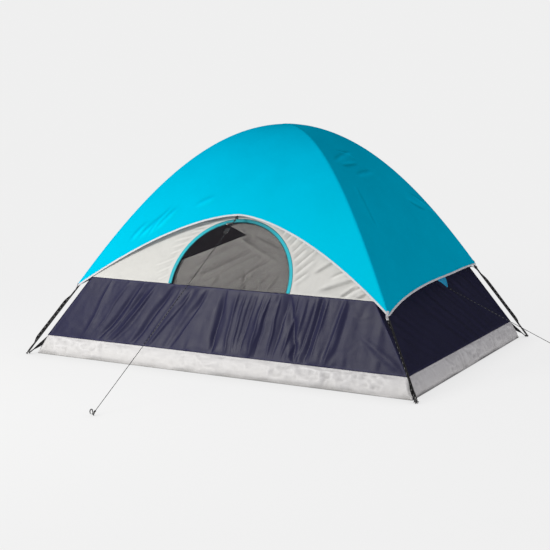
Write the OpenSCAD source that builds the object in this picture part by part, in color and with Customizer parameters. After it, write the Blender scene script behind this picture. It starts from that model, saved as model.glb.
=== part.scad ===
// Dome tent with two crossed poles, an inner tent and a partial rainfly.
// +Z up, origin on the ground under the crossing, -Y is the front with the window. Millimetres.

/* [Poles] */
// Distance between pole feet along the long side
foot_span_x = 2844; // [2800:1:2900]
// Distance between pole feet along the short side
foot_span_y = 2178; // [2140:1:2220]
// Outer diameter of a pole section
pole_d = 11; // [9:0.5:13]
// Bore of a pole section
pole_bore = 6; // [5:0.5:7]
// Length of a full pole section
section_len = 700; // [650:10:750]
// Height of the upper pole's centreline at the crossing
pole_a_apex = 1531; // [1500:1:1560]
// Height of the lower pole's centreline at the crossing
pole_b_apex = 1517; // [1490:1:1550]
// Bend of the upper pole: half centre section, upper, middle and end section, in degrees
pole_a_bends = [22.52, 24.3, 4.85, 0]; // [0:0.01:40]
// Bend of the lower pole: half centre section, upper, middle and end section, in degrees
pole_b_bends = [21.12, 26.1, 4.31, 0]; // [0:0.01:40]
// Length of the upper pole's end sections
pole_a_tail = 664; // [600:1:700]
// Length of the lower pole's end sections
pole_b_tail = 658; // [600:1:700]
// Outer diameter of a ferrule
ferrule_d = 13; // [12:0.5:16]
// Length of a ferrule
ferrule_len = 80; // [60:5:120]
// Diameter of the shock cord in a pole
cord_d = 2.5; // [2:0.5:4]

/* [Inner tent] */
// Thickness of fabric
cloth = 1.6; // [1:0.1:2.5]
// Gap along a sewn edge
seam = 2; // [1:0.5:4]
// Half length and half width of the floor
floor_half = [1370, 1036]; // [800:1:1500]
// Half length, half width and height at the bathtub's top edge
tub_top = [1319, 984, 122]; // [100:1:1400]
// Half length, half width and height at the dark band's top edge
band_top = [1041, 843, 526]; // [400:1:1200]
// Share of the half diagonal at which the walls meet the roof
roof_share = 0.4958; // [0.4:0.001:0.6]
// Height of the roof under the crossing
roof_apex = 1487; // [1450:1:1510]
// Outer radius of the window and door arch
arch_r = 452; // [380:1:470]
// Straight leg under the arch
arch_leg = 35; // [20:1:80]
// How far right of the middle the window lies
window_x = 20; // [0:1:60]
// Width of the arch's trim
trim_w = 35; // [20:1:45]
// Height of the door's sill above the band's lower edge
door_sill = 25; // [15:1:60]
// Outer diameter of a pole sleeve
sleeve_d = 16.4; // [16:0.2:20]

/* [Rainfly] */
// Height of the fly over the crossing
fly_apex = 1549; // [1530:1:1580]
// First curve number of the fly's ridge
ridge_a = 1.1589; // [1.1:0.0001:1.2]
// Second curve number of the fly's ridge
ridge_b = -0.0759; // [-0.1:0.0001:0]
// Height of the fly's lower edge at the corners
fly_corner_z = 462; // [440:1:480]
// How much higher the back right corner sits, on its longer strap
fly_skew = 90; // [0:1:120]
// Height of the lower edge at the middle of the long sides
fly_front_z = 983; // [950:1:1010]
// Height of the lower edge at the middle of the short sides
fly_end_z = 569; // [540:1:600]
// How far the lower edge is pulled out at front, right, back and left
fly_pull = [20, 57, 20, 12]; // [0:1:80]
// Width of the edge binding
binding_w = 12; // [8:1:20]

/* [Corners and guy lines] */
// Width of the corner webbing
webbing_w = 20; // [15:1:30]
// Diameter of the corner pin
pin_d = 5; // [4:0.5:6]
// Wire diameter of the corner ring
ring_wire = 4; // [3:0.5:5]
// Radius of the corner ring's round side
ring_r = 15; // [12:1:20]
// Diameter of a guy line
line_d = 4; // [3:0.5:5]
// Where the front guy line starts at the fly
front_tie = [0, -694, 957]; // [-1000:1:1000]
// Where the front stake enters the ground
front_stake_at = [-62, -2165, 0]; // [-2400:1:2400]
// Where the right guy line starts at the fly
right_tie = [1197, 0, 500]; // [0:1:1300]
// Where the right stake enters the ground
right_stake_at = [2320, 0, 0]; // [0:1:2500]
// Wire diameter of a stake
stake_d = 6; // [5:0.5:8]
// Length of a stake in the ground
stake_depth = 150; // [120:5:200]

/* [Hidden] */
half_x = foot_span_x / 2;
half_y = foot_span_y / 2;
reach = sqrt(half_x * half_x + half_y * half_y);
diag = atan2(half_y, half_x);
bore_gap = 0.1;
ferrule_gap = 0.6;
wall_gap = 1;
trim_t = 2.4;
trim_lift = 0.6;
roof_edge = [half_x * roof_share, half_y * roof_share, roof_apex * ridge(roof_share)];
roof_lift = 2.6;
arch_zip_r = arch_r - trim_w;
opening_r = arch_r - trim_w / 2;
eye_r = 5.5;
eye_wire = 3.6;
eye_x = 10.5;
strap_y = 13;
strap_n = 4;
strap_top = 558;
strap_extra = 113;
strap_aside = 3.5;
foot_a = along(pole_a_apex, pole_a_bends, pole_a_tail, 4);
foot_b = along(pole_b_apex, pole_b_bends, pole_b_tail, 4);

// Height of the ridge, as a share of its apex, at a share of the half diagonal.
function ridge(s) = 1 - ridge_a * pow(s, 2) - ridge_b * pow(s, 4)
  - (1 - ridge_a - ridge_b) * pow(s, 6);

function lengths(tail) = [section_len / 2, section_len, section_len, tail];

// Radius, height and slope of a pole at the start of its section number i, from the crossing out.
function along(apex, bends, tail, i) = i == 0 ? [0, apex, 0]
  : step(along(apex, bends, tail, i - 1), bends[i - 1], lengths(tail)[i - 1]);

function step(p, bend, len) = bend == 0
  ? [p[0] + len * cos(p[2]), p[1] - len * sin(p[2]), p[2]]
  : let (rad = len * 180 / (PI * bend), t = p[2] + bend)
    [p[0] + rad * (sin(t) - sin(p[2])), p[1] - rad * (cos(p[2]) - cos(t)), t];

// Carries a flat outline along part of a pole section, in the vertical plane of the X axis.
module run(p, bend, len, from, to) {
  if (bend == 0)
    translate([p[0], 0, p[1]]) rotate([0, 90 + p[2], 0]) translate([0, 0, len * from])
      linear_extrude(len * (to - from)) rotate([0, 0, 180]) children();
  else {
    rad = len * 180 / (PI * bend);
    translate([p[0] - rad * sin(p[2]), 0, p[1] - rad * cos(p[2])])
      rotate([90, 0, 0]) rotate([0, 0, 90 - p[2] - bend * to])
        rotate_extrude(angle = bend * (to - from), $fn = 240) translate([rad, 0]) children();
  }
}

// One section of pole a or b: number 0 is half of the centre section.
module section(b, i, from, to) {
  apex = b ? pole_b_apex : pole_a_apex;
  bends = b ? pole_b_bends : pole_a_bends;
  tail = b ? pole_b_tail : pole_a_tail;
  run(along(apex, bends, tail, i), bends[i], lengths(tail)[i], from, to) children();
}

module pole_plane(b) {
  mirror([0, b ? 1 : 0, 0]) rotate([0, 0, diag]) children();
}

module both_ends() {
  for (turn = [0, 180]) rotate([0, 0, turn]) children();
}

// A corner of the tent, drawn where X and Y are positive.
module corner(b, turn) {
  mirror([0, b ? 1 : 0, 0]) rotate([0, 0, turn]) let ($foot = b ? foot_b : foot_a) children();
}

module each_corner() {
  for (b = [false, true], turn = [0, 180]) corner(b, turn) children();
}

// X runs on down from the pole's end, Z is square to the pole and up.
module foot_frame() {
  rotate([0, 0, diag]) translate([$foot[0], 0, $foot[1]]) rotate([0, $foot[2], 0]) children();
}

module tube_outline(outer, inner) {
  difference() {
    circle(d = outer, $fn = 32);
    circle(d = inner, $fn = 32);
  }
}

// Straight pieces between two points.
function span(p, q) = norm(q - p);
function heading(p, q) = atan2(q[1] - p[1], q[0] - p[0]);
function climb(p, q) = asin((q[2] - p[2]) / span(p, q));

module rod(p, q, d) {
  translate(p) rotate([0, 90 - climb(p, q), heading(p, q)]) cylinder(d = d, h = span(p, q), $fn = 32);
}

module strip(p, q, width, thick) {
  translate(p) rotate([0, -climb(p, q), heading(p, q)])
    translate([0, -width / 2, -thick / 2]) cube([span(p, q), width, thick]);
}

// ---- inner tent ----

// Flat panels: side 0 is the front, 1 the right, 2 the back, 3 the left.
function long_way(side, p) = side % 2 == 0 ? p[0] : p[1];
function out_way(side, p) = side % 2 == 0 ? p[1] : p[0];
function lean(side, low, high) = atan2(out_way(side, low) - out_way(side, high), high[2] - low[2]);
function slope_len(side, low, high) = norm([out_way(side, low) - out_way(side, high), high[2] - low[2]]);

// X runs along the side, Y up the panel, Z out of the tent.
module on_side(side, low, high) {
  rotate([0, 0, 90 * side]) translate([0, -out_way(side, low), low[2]])
    rotate([90 - lean(side, low, high), 0, 0]) children();
}

module panel_outline(side, low, high) {
  a = long_way(side, low) - seam;
  b = long_way(side, high) - seam;
  h = slope_len(side, low, high);
  polygon([[-a, wall_gap], [a, wall_gap], [b, h - wall_gap], [-b, h - wall_gap]]);
}

module panel(side, low, high) {
  on_side(side, low, high) translate([0, 0, -cloth]) linear_extrude(cloth) difference() {
    panel_outline(side, low, high);
    children();
  }
}

module arch(r, low = 0) {
  translate([0, arch_leg]) circle(r = r, $fn = 180);
  translate([-r, low]) square([2 * r, arch_leg - low]);
}

// An arch shape kept above its base line.
module arch_shape(r, low = 0) {
  intersection() {
    arch(r, low);
    translate([-r, low]) square([2 * r, r + arch_leg - low]);
  }
}

module frustum(low, high) {
  polyhedron(
    points = [
      [-low[0], -low[1], low[2]], [low[0], -low[1], low[2]],
      [low[0], low[1], low[2]], [-low[0], low[1], low[2]],
      [-high[0], -high[1], high[2]], [high[0], -high[1], high[2]],
      [high[0], high[1], high[2]], [-high[0], high[1], high[2]]
    ],
    faces = [
      [0, 1, 2], [0, 2, 3], [4, 7, 6], [4, 6, 5],
      [0, 4, 5], [0, 5, 1], [1, 5, 6], [1, 6, 2],
      [2, 6, 7], [2, 7, 3], [3, 7, 4], [3, 4, 0]
    ]
  );
}

module floor() {
  color([0.56, 0.56, 0.55])
    translate([-floor_half[0], -floor_half[1], 0]) cube([2 * floor_half[0], 2 * floor_half[1], cloth]);
}

module bathtub_wall() {
  low = [floor_half[0], floor_half[1], cloth + wall_gap];
  high = [tub_top[0], tub_top[1], tub_top[2] - wall_gap];
  thin = [cloth * 1.1, cloth * 1.1, 0];
  over = [0, 0, 1];
  color([0.74, 0.74, 0.73]) difference() {
    frustum(low, high);
    frustum(low - thin - over, high - thin + over);
  }
}

module band(side) {
  color([0.09, 0.09, 0.12]) panel(side, tub_top, band_top) children();
}

module front_band() { band(0); }
module right_band() { band(1); }
module left_band() { band(3); }

module back_band() {
  band(2) translate([-opening_r, door_sill]) square([2 * opening_r, slope_len(2, tub_top, band_top)]);
}

module wall(side) {
  color([0.72, 0.72, 0.7]) panel(side, band_top, roof_edge) children();
}

module front_wall() { wall(0) translate([window_x, wall_gap]) arch(opening_r, -5); }
module right_wall() { wall(1); }
module back_wall() { wall(2) translate([0, wall_gap]) arch(opening_r, -5); }
module left_wall() { wall(3); }

module window_mesh() {
  color([0.12, 0.12, 0.13]) on_side(0, band_top, roof_edge) translate([0, 0, -cloth])
    linear_extrude(cloth) translate([window_x, wall_gap]) arch_shape(opening_r - 1);
}

module trim_outline(low = 0) {
  difference() {
    arch_shape(arch_r, low);
    translate([0, -1]) arch(arch_zip_r, low);
  }
}

module window_trim() {
  color([0.1, 0.55, 0.62]) on_side(0, band_top, roof_edge) translate([window_x, wall_gap, trim_lift])
    linear_extrude(trim_t) trim_outline();
}

// The flap's upper left corner has dropped open.
module window_flap() {
  color([0.5, 0.5, 0.48]) on_side(0, band_top, roof_edge) translate([window_x, wall_gap, -14])
    linear_extrude(cloth) difference() {
      arch_shape(opening_r - 6);
      polygon([[-480, 184], [-384, 184], [34, 378], [-142, 452], [-300, 530], [-480, 400]]);
    }
}

// The slider stands on the trim's inner edge, at an angle around the arch's centre.
module zip_slider(angle) {
  translate([0, wall_gap + arch_leg, trim_lift + trim_t + 0.4]) rotate([0, 0, angle - 90])
    translate([0, arch_zip_r + 4, 0]) {
      translate([-9, -5, 0]) cube([18, 10, 4]);
      translate([-2, -5, 3.5]) cube([4, 10, 2.5]);
      difference() {
        translate([8, -4, 1]) cube([32, 8, 2]);
        translate([35, 0, 0]) cylinder(d = 4, h = 5, $fn = 24);
      }
    }
}

module window_zip_slider() {
  color([0.08, 0.08, 0.09]) on_side(0, band_top, roof_edge) translate([window_x, 0, 0]) zip_slider(106);
}

// The door folds where the dark band meets the wall.
module door_panel() {
  color([0.6, 0.6, 0.58]) union() {
    on_side(2, band_top, roof_edge) translate([0, 0, -14]) linear_extrude(cloth)
      arch_shape(opening_r - 6, 2);
    on_side(2, tub_top, band_top) translate([0, 0, -14]) linear_extrude(cloth)
      translate([6 - opening_r, door_sill + 4])
        square([2 * opening_r - 12, slope_len(2, tub_top, band_top) - door_sill - 2]);
  }
}

module door_trim() {
  h = slope_len(2, tub_top, band_top);
  color([0.1, 0.55, 0.62]) {
    on_side(2, band_top, roof_edge) translate([0, wall_gap, trim_lift])
      linear_extrude(trim_t) trim_outline();
    on_side(2, tub_top, band_top) translate([0, 0, trim_lift]) linear_extrude(trim_t)
      difference() {
        translate([-arch_r, door_sill - trim_w / 2]) square([2 * arch_r, h - door_sill + trim_w / 2 - 2]);
        translate([-arch_zip_r, door_sill + trim_w / 2]) square([2 * arch_zip_r, h]);
      }
  }
}

module door_zip_slider() {
  color([0.08, 0.08, 0.09]) on_side(2, band_top, roof_edge) zip_slider(60);
}

// ---- curved sheets, drawn from the middle out in rings of points ----

// Point number j of a ring, as side and place along it from -1 to 1.
function side_of(j, per) = floor(j / per) % 4;
function place_of(j, per) = 2 * (j % per) / per - 1;

function turned(p, side) = side == 0 ? p : turned([-p[1], p[0], p[2]], side - 1);

// A point of the ruled surface at share s, with a pull out of the side.
function surface_point(side, u, s, z, pull) = turned(
  [u * s * (side % 2 == 0 ? half_x : half_y), -s * (side % 2 == 0 ? half_y : half_x) - pull, z], side);

function wrap(j, m) = j % m;

// Faces of a closed sheet: rings of m points, n of them, above and below.
function sheet_faces(n, m) = let (low = 1 + n * m) concat(
  [for (j = [0:m - 1]) [0, 1 + wrap(j + 1, m), 1 + j]],
  [for (j = [0:m - 1]) [low, low + 1 + j, low + 1 + wrap(j + 1, m)]],
  [for (i = [0:n - 2], j = [0:m - 1]) let (p = 1 + i * m + j, q = 1 + i * m + wrap(j + 1, m)) [p, q, q + m]],
  [for (i = [0:n - 2], j = [0:m - 1]) let (p = 1 + i * m + j, q = 1 + i * m + wrap(j + 1, m)) [p, q + m, p + m]],
  [for (i = [0:n - 2], j = [0:m - 1])
    let (p = low + 1 + i * m + j, q = low + 1 + i * m + wrap(j + 1, m)) [p, q + m, q]],
  [for (i = [0:n - 2], j = [0:m - 1])
    let (p = low + 1 + i * m + j, q = low + 1 + i * m + wrap(j + 1, m)) [p, p + m, q + m]],
  [for (j = [0:m - 1]) let (p = 1 + (n - 1) * m + j, q = 1 + (n - 1) * m + wrap(j + 1, m)) [p, q, q + low]],
  [for (j = [0:m - 1]) let (p = 1 + (n - 1) * m + j, q = 1 + (n - 1) * m + wrap(j + 1, m)) [p, q + low, p + low]]
);

module sheet(rings, n, m, apex, drop) {
  top = concat([[0, 0, apex]], rings);
  polyhedron(points = concat(top, [for (p = top) p - [0, 0, drop]]), faces = sheet_faces(n, m));
}

roof_rings = 8;
roof_per = 6;

module roof_mesh() {
  color([0.2, 0.2, 0.21]) sheet(
    [for (i = [1:roof_rings], j = [0:4 * roof_per - 1])
      let (s = roof_share * i / roof_rings)
      surface_point(side_of(j, roof_per), place_of(j, roof_per), s, roof_apex * ridge(s) + roof_lift, 0)],
    roof_rings, 4 * roof_per, roof_apex + roof_lift, cloth * 1.2);
}

fly_rings = 16;
fly_per = 16;

// Share of the half diagonal at which the fly's ridge comes down to height z.
function ridge_share(z, low = 0.3, high = 0.95, n = 22) = n == 0 ? (low + high) / 2
  : let (mid = (low + high) / 2) fly_apex * ridge(mid) > z
    ? ridge_share(z, mid, high, n - 1) : ridge_share(z, low, mid, n - 1);

corner_share = [ridge_share(fly_corner_z), ridge_share(fly_corner_z + fly_skew)];

// 1 towards the back right corner, 0 towards the others.
function skewed(side, u) = (side == 1 && u > 0) || (side == 2 && u < 0) ? 1 : 0;

// Height of the fly's lower edge where the side's share is s.
function edge_height(side, u, s) = let (
    k = skewed(side, u), low = fly_corner_z + fly_skew * k, share = abs(u) * s / corner_share[k])
  side % 2 == 0 ? low + (fly_front_z - low) * (1 - pow(share, 1.6))
  : fly_end_z + (low - fly_end_z) * pow(share, 2);

function edge_share(side, u, low = 0.3, high = 0.95, n = 22) = n == 0 ? (low + high) / 2
  : let (mid = (low + high) / 2) fly_apex * ridge(mid) > edge_height(side, u, mid)
    ? edge_share(side, u, mid, high, n - 1) : edge_share(side, u, low, mid, n - 1);

function fly_point(side, u, t) = let (s = t * edge_share(side, u))
  surface_point(side, u, s, fly_apex * ridge(s), fly_pull[side] * pow(t, 3) * pow(1 - u * u, 2));

fly_edge = [for (j = [0:4 * fly_per - 1]) fly_point(side_of(j, fly_per), place_of(j, fly_per), 1)];
fly_hem = [for (j = [0:4 * fly_per - 1]) fly_point(side_of(j, fly_per), place_of(j, fly_per), 0.97)];

module rainfly() {
  color([0.0, 0.72, 0.85]) sheet(
    [for (i = [1:fly_rings], j = [0:4 * fly_per - 1])
      fly_point(side_of(j, fly_per), place_of(j, fly_per), i / fly_rings)],
    fly_rings, 4 * fly_per, fly_apex, 1.8);
}

// The binding goes on down from the fly's edge.
module fly_binding() {
  m = 4 * fly_per;
  down = [for (j = [0:m - 1]) (fly_edge[j] - fly_hem[j]) / norm(fly_edge[j] - fly_hem[j])];
  start = [for (j = [0:m - 1]) fly_edge[j] + down[j] * 0.8];
  end = [for (j = [0:m - 1]) fly_edge[j] + down[j] * binding_w];
  drop = [0, 0, 3];
  color([0.75, 0.75, 0.77]) polyhedron(
    points = concat(start, end, [for (p = end) p - drop], [for (p = start) p - drop]),
    faces = [for (k = [0:3], j = [0:m - 1], half = [0, 1])
      let (p = k * m + j, q = k * m + wrap(j + 1, m), r = ((k + 1) % 4) * m + j,
        s = ((k + 1) % 4) * m + wrap(j + 1, m)) half == 0 ? [p, q, s] : [p, s, r]]);
}

// ---- pole sleeves on the inner tent ----

// Three lengths a hair apart on each side of the crossing.
module sleeve(b) {
  color([0.16, 0.16, 0.18]) pole_plane(b) both_ends() {
    section(b, 0, 0.2, 0.9995) sleeve_outline();
    section(b, 1, 0, 0.9998) sleeve_outline();
    section(b, 2, 0, 0.45) sleeve_outline();
  }
}

module sleeve_outline() {
  tube_outline(sleeve_d, sleeve_d - 2);
  translate([-sleeve_d / 2 - 3.5, -0.6]) square([4, 1.2]);
}

module pole_sleeve_a() { sleeve(false); }
module pole_sleeve_b() { sleeve(true); }

// ---- poles ----

module pole_centre(b) {
  color([0.07, 0.07, 0.08]) pole_plane(b) section(b, 0, -1, 1) tube_outline(pole_d, pole_bore);
}

module pole_pair(b, i) {
  color([0.07, 0.07, 0.08]) pole_plane(b) both_ends() section(b, i, 0.0003, 1) tube_outline(pole_d, pole_bore);
}

module pole_a_centre_section() { pole_centre(false); }
module pole_a_upper_sections() { pole_pair(false, 1); }
module pole_a_middle_sections() { pole_pair(false, 2); }
module pole_a_end_sections() { pole_pair(false, 3); }
module pole_b_centre_section() { pole_centre(true); }
module pole_b_upper_sections() { pole_pair(true, 1); }
module pole_b_middle_sections() { pole_pair(true, 2); }
module pole_b_end_sections() { pole_pair(true, 3); }

// A ferrule joins two sections and follows the mean of their bends.
module ferrule(b, i) {
  apex = b ? pole_b_apex : pole_a_apex;
  bends = b ? pole_b_bends : pole_a_bends;
  lens = lengths(b ? pole_b_tail : pole_a_tail);
  bend = (bends[i] / lens[i] + bends[i + 1] / lens[i + 1]) / 2 * ferrule_len;
  run(along(apex, bends, lens[3], i + 1), bend, ferrule_len, -0.5, 0.5)
    tube_outline(ferrule_d, pole_d + ferrule_gap);
}

module pole_ferrules() {
  color([0.7, 0.7, 0.72]) for (b = [false, true])
    pole_plane(b) both_ends() for (i = [0:2]) ferrule(b, i);
}

module pole_end_caps() {
  color([0.7, 0.7, 0.72]) each_corner() foot_frame() rotate([0, 90, 0])
    translate([0, 0, -50]) linear_extrude(50) tube_outline(ferrule_d, pole_d + bore_gap);
}

// The cord runs in lengths a hair apart, and ends at a washer in each end section.
module shock_cord(b) {
  stop = 1 - 60 / (b ? pole_b_tail : pole_a_tail);
  color([0.85, 0.85, 0.83]) pole_plane(b) {
    section(b, 0, -0.9995, 0.9995) circle(d = cord_d, $fn = 32);
    both_ends() {
      section(b, 1, 0, 0.9998) circle(d = cord_d, $fn = 32);
      section(b, 2, 0, 0.9998) circle(d = cord_d, $fn = 32);
      section(b, 3, 0, stop) circle(d = cord_d, $fn = 32);
      section(b, 3, stop + 0.0005, stop + 0.008) circle(d = pole_bore - 0.6, $fn = 32);
    }
  }
}

module shock_cord_a() { shock_cord(false); }
module shock_cord_b() { shock_cord(true); }

// ---- corners ----

// The D-ring lies flat: its bar faces the tent and its round side holds the pin's eye.
function ring_z() = $foot[1] - eye_x * sin($foot[2]);
function bar_r() = $foot[0] + eye_x * cos($foot[2]) - ring_r;

module corner_rings() {
  color([0.72, 0.72, 0.74]) each_corner() rotate([0, 0, diag]) translate([bar_r(), 0, ring_z()]) {
    rotate([0, 0, -90]) rotate_extrude(angle = 180, $fn = 96)
      translate([ring_r, 0]) circle(d = ring_wire, $fn = 32);
    translate([0, -ring_r, 0]) rotate([-90, 0, 0]) cylinder(d = ring_wire, h = 2 * ring_r, $fn = 32);
    for (y = [-ring_r, ring_r]) translate([0, y, 0]) sphere(d = ring_wire, $fn = 32);
  }
}

module corner_pins() {
  color([0.72, 0.72, 0.74]) each_corner() foot_frame() {
    translate([-42, 0, 0]) rotate([0, 90, 0]) cylinder(d = pin_d, h = 42 + eye_x - eye_r, $fn = 32);
    translate([eye_x, 0, 0]) rotate([90, 0, 0]) rotate_extrude($fn = 96)
      translate([eye_r, 0]) circle(d = eye_wire, $fn = 32);
  }
}

// Webbing from the bathtub's corner to a loop around the ring's bar.
module corner_straps() {
  color([0.06, 0.06, 0.07]) each_corner() {
    at_ring = [bar_r() * cos(diag), bar_r() * sin(diag), ring_z()];
    lift = [2.1 * cos(diag), 2.1 * sin(diag), 2.9];
    strip([tub_top[0] + 7, tub_top[1] + 7, tub_top[2] - 4], at_ring + lift, webbing_w, 2);
    rotate([0, 0, diag]) translate([bar_r(), webbing_w / 2, ring_z()]) rotate([90, 0, 0])
      linear_extrude(webbing_w) tube_outline(8.6, ring_wire + 1);
  }
}

clip_along = 20;

// Where a clip grips its pole, in the corner's own frame.
function clip_at(b) = let (p = along(b ? pole_b_apex : pole_a_apex, b ? pole_b_bends : pole_a_bends,
    b ? pole_b_tail : pole_a_tail, 3))
  let (r = p[0] + clip_along * cos(p[2]), z = p[1] - clip_along * sin(p[2]))
  [r * cos(diag), r * sin(diag), z];

// The clip's own frame: Z along the pole, Y sideways.
module clip_frame(b) {
  translate(clip_at(b)) rotate([0, 0, diag]) rotate([0, 90 + $foot[2], 0]) children();
}

module corner_clips() {
  color([0.05, 0.05, 0.06]) for (b = [false, true], turn = [0, 180]) corner(b, turn) difference() {
    union() {
      clip_frame(b) cylinder(d = 20, h = 14, center = true, $fn = 48);
      strip(clip_at(b) + [-8, -1.5, 0], clip_at(b) + [-27, -6, 4], 12, 3);
    }
    clip_frame(b) cylinder(d = 14, h = 30, center = true, $fn = 48);
    clip_frame(b) translate([-4, -12, -8]) cube([8, 12, 16]);
  }
}

module clip_tabs() {
  color([0.06, 0.06, 0.07]) for (b = [false, true], turn = [0, 180]) corner(b, turn)
    strip([band_top[0] + 4, band_top[1] - 1, band_top[2] + 1],
      clip_at(b) + [-33, -6, 2], 10, 1.6);
}

// ---- rainfly fittings ----

module fly_corner_tab(extra = 0, aside = 0) {
  foot_frame() translate([-extra, aside, 0])
    strip([-strap_top + 6, 11.5, 4.8], [-strap_top + 14, strap_y, strap_n + 0.8], 12, 1.6);
}

module fly_corner_tabs() {
  color([0.0, 0.45, 0.55]) {
    corner(false, 0) fly_corner_tab(strap_extra, strap_aside);
    corner(false, 180) fly_corner_tab();
    corner(true, 0) fly_corner_tab();
    corner(true, 180) fly_corner_tab();
  }
}

// Triangles sewn to the middle of the short edges, pointing down and out.
module fly_guy_tabs() {
  color([0.0, 0.45, 0.55]) for (side = [1, 3])
    rotate([0, 0, side == 1 ? 0 : 180])
      translate([half_x * edge_share(side, 0) + fly_pull[side] + 9, 0, fly_end_z - 15])
        rotate([0, 50, 0]) linear_extrude(2) difference() {
          polygon([[0, -65], [0, 65], [64, 7], [64, -7]]);
          translate([56, 0]) circle(d = 6, $fn = 32);
        }
}

// A barrel toggle on a short webbing loop at the middle of each long edge.
module fly_toggles() {
  at = front_tie + [0, 10, 6];
  color([0.04, 0.04, 0.05]) for (turn = [0, 180]) rotate([0, 0, turn]) difference() {
    union() {
      translate(at) rotate([0, 90, 0]) cylinder(d = 13, h = 24, center = true, $fn = 32);
      strip(at, at + [0, 12, 8.5], 14, 1.6);
    }
    translate(at) rotate([90, 0, 0]) translate([0, 0, 4]) cylinder(d = 5, h = 10, $fn = 32);
  }
}

module fly_strap(extra = 0, aside = 0) {
  color([0.05, 0.05, 0.06]) foot_frame()
    translate([-strap_top - extra + 16, strap_y + aside - 5, strap_n - 1.25])
      cube([strap_top + extra - 46, 10, 2.5]);
}

// The hook's foot lies under the ring's wire, square to the strap.
module fly_hook() {
  color([0.05, 0.05, 0.06]) foot_frame() {
    translate([-29, strap_y - 5, strap_n - 1.5]) cube([eye_x + 35.5, 6, 3]);
    translate([eye_x + 3.5, strap_y - 5, -4.5]) cube([3, 6, strap_n + 6]);
  }
}

module fly_strap_back_right() { corner(false, 0) fly_strap(strap_extra, strap_aside); }
module fly_strap_front_left() { corner(false, 180) fly_strap(); }
module fly_strap_front_right() { corner(true, 0) fly_strap(); }
module fly_strap_back_left() { corner(true, 180) fly_strap(); }
module fly_hook_back_right() { corner(false, 0) fly_hook(); }
module fly_hook_front_left() { corner(false, 180) fly_hook(); }
module fly_hook_front_right() { corner(true, 0) fly_hook(); }
module fly_hook_back_left() { corner(true, 180) fly_hook(); }

// ---- guy lines and stakes ----

stake_tilt = 18;
loop_up = 12;
loop_r = 8;

// The stake's own frame: Z along the shank, X away from the tent.
module stake_frame(at) {
  translate(at) rotate([0, 0, atan2(at[1], at[0])]) rotate([0, stake_tilt, 0]) children();
}

module stake(at) {
  color([0.1, 0.1, 0.11]) stake_frame(at) {
    translate([0, 0, -stake_depth]) cylinder(d = stake_d, h = stake_depth + 34, $fn = 32);
    translate([0, 0, -stake_depth - 12]) cylinder(d1 = 1, d2 = stake_d, h = 12, $fn = 32);
    translate([11, 0, 34]) rotate([90, 0, 0]) rotate_extrude(angle = 180, $fn = 96)
      translate([11, 0]) circle(d = stake_d, $fn = 32);
    translate([22, 0, 24]) cylinder(d = stake_d, h = 10, $fn = 32);
  }
}

// Where a line meets its loop around the stake.
function loop_centre(at) = let (d = [cos(atan2(at[1], at[0])), sin(atan2(at[1], at[0]))])
  [at[0] + d[0] * loop_up * sin(stake_tilt), at[1] + d[1] * loop_up * sin(stake_tilt), loop_up * cos(stake_tilt)];

function line_end(tie, at) = let (c = loop_centre(at)) c + (tie - c) / norm(tie - c) * loop_r;

module guy_line(tie, at) {
  color([0.08, 0.08, 0.09]) union() {
    rod(line_end(tie, at), tie, line_d);
    translate(loop_centre(at)) rotate([0, 0, atan2(at[1], at[0])]) rotate([0, stake_tilt, 0])
      rotate_extrude($fn = 96) translate([loop_r, 0]) circle(d = 3.4, $fn = 32);
  }
}

// A flat plastic slider that grips the line, a share of the way up from the stake.
module guy_slider(tie, at, share) {
  start = line_end(tie, at);
  color([0.05, 0.05, 0.06]) translate(start + (tie - start) * share)
    rotate([0, 90 - climb(start, tie), heading(start, tie)]) difference() {
      translate([-4, -9, -22]) cube([8, 26, 44]);
      translate([0, 0, -30]) cylinder(d = line_d + 0.6, h = 60, $fn = 32);
      translate([-5, 10, -12]) rotate([0, 90, 0]) cylinder(d = 5, h = 10, $fn = 32);
      translate([-5, 10, 12]) rotate([0, 90, 0]) cylinder(d = 5, h = 10, $fn = 32);
    }
}

module front_guy_line() { guy_line(front_tie, front_stake_at); }
module front_guy_slider() { guy_slider(front_tie, front_stake_at, 0.93); }
module front_stake() { stake(front_stake_at); }
module right_guy_line() { guy_line(right_tie, right_stake_at); }
module right_guy_slider() { guy_slider(right_tie, right_stake_at, 0.3); }
module right_stake() { stake(right_stake_at); }

floor();
bathtub_wall();
front_band();
right_band();
back_band();
left_band();
front_wall();
right_wall();
back_wall();
left_wall();
roof_mesh();
window_mesh();
window_trim();
window_flap();
window_zip_slider();
door_panel();
door_trim();
door_zip_slider();
pole_sleeve_a();
pole_sleeve_b();
pole_a_centre_section();
pole_a_upper_sections();
pole_a_middle_sections();
pole_a_end_sections();
pole_b_centre_section();
pole_b_upper_sections();
pole_b_middle_sections();
pole_b_end_sections();
pole_ferrules();
pole_end_caps();
shock_cord_a();
shock_cord_b();
corner_straps();
corner_rings();
corner_pins();
clip_tabs();
corner_clips();
rainfly();
fly_binding();
fly_corner_tabs();
fly_guy_tabs();
fly_toggles();
fly_strap_front_left();
fly_strap_front_right();
fly_strap_back_left();
fly_strap_back_right();
fly_hook_front_left();
fly_hook_front_right();
fly_hook_back_left();
fly_hook_back_right();
front_guy_line();
front_guy_slider();
front_stake();
right_guy_line();
right_guy_slider();
right_stake();
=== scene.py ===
"""Looks for the dome tent: cloth, trims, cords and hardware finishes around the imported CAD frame."""

import math

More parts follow.
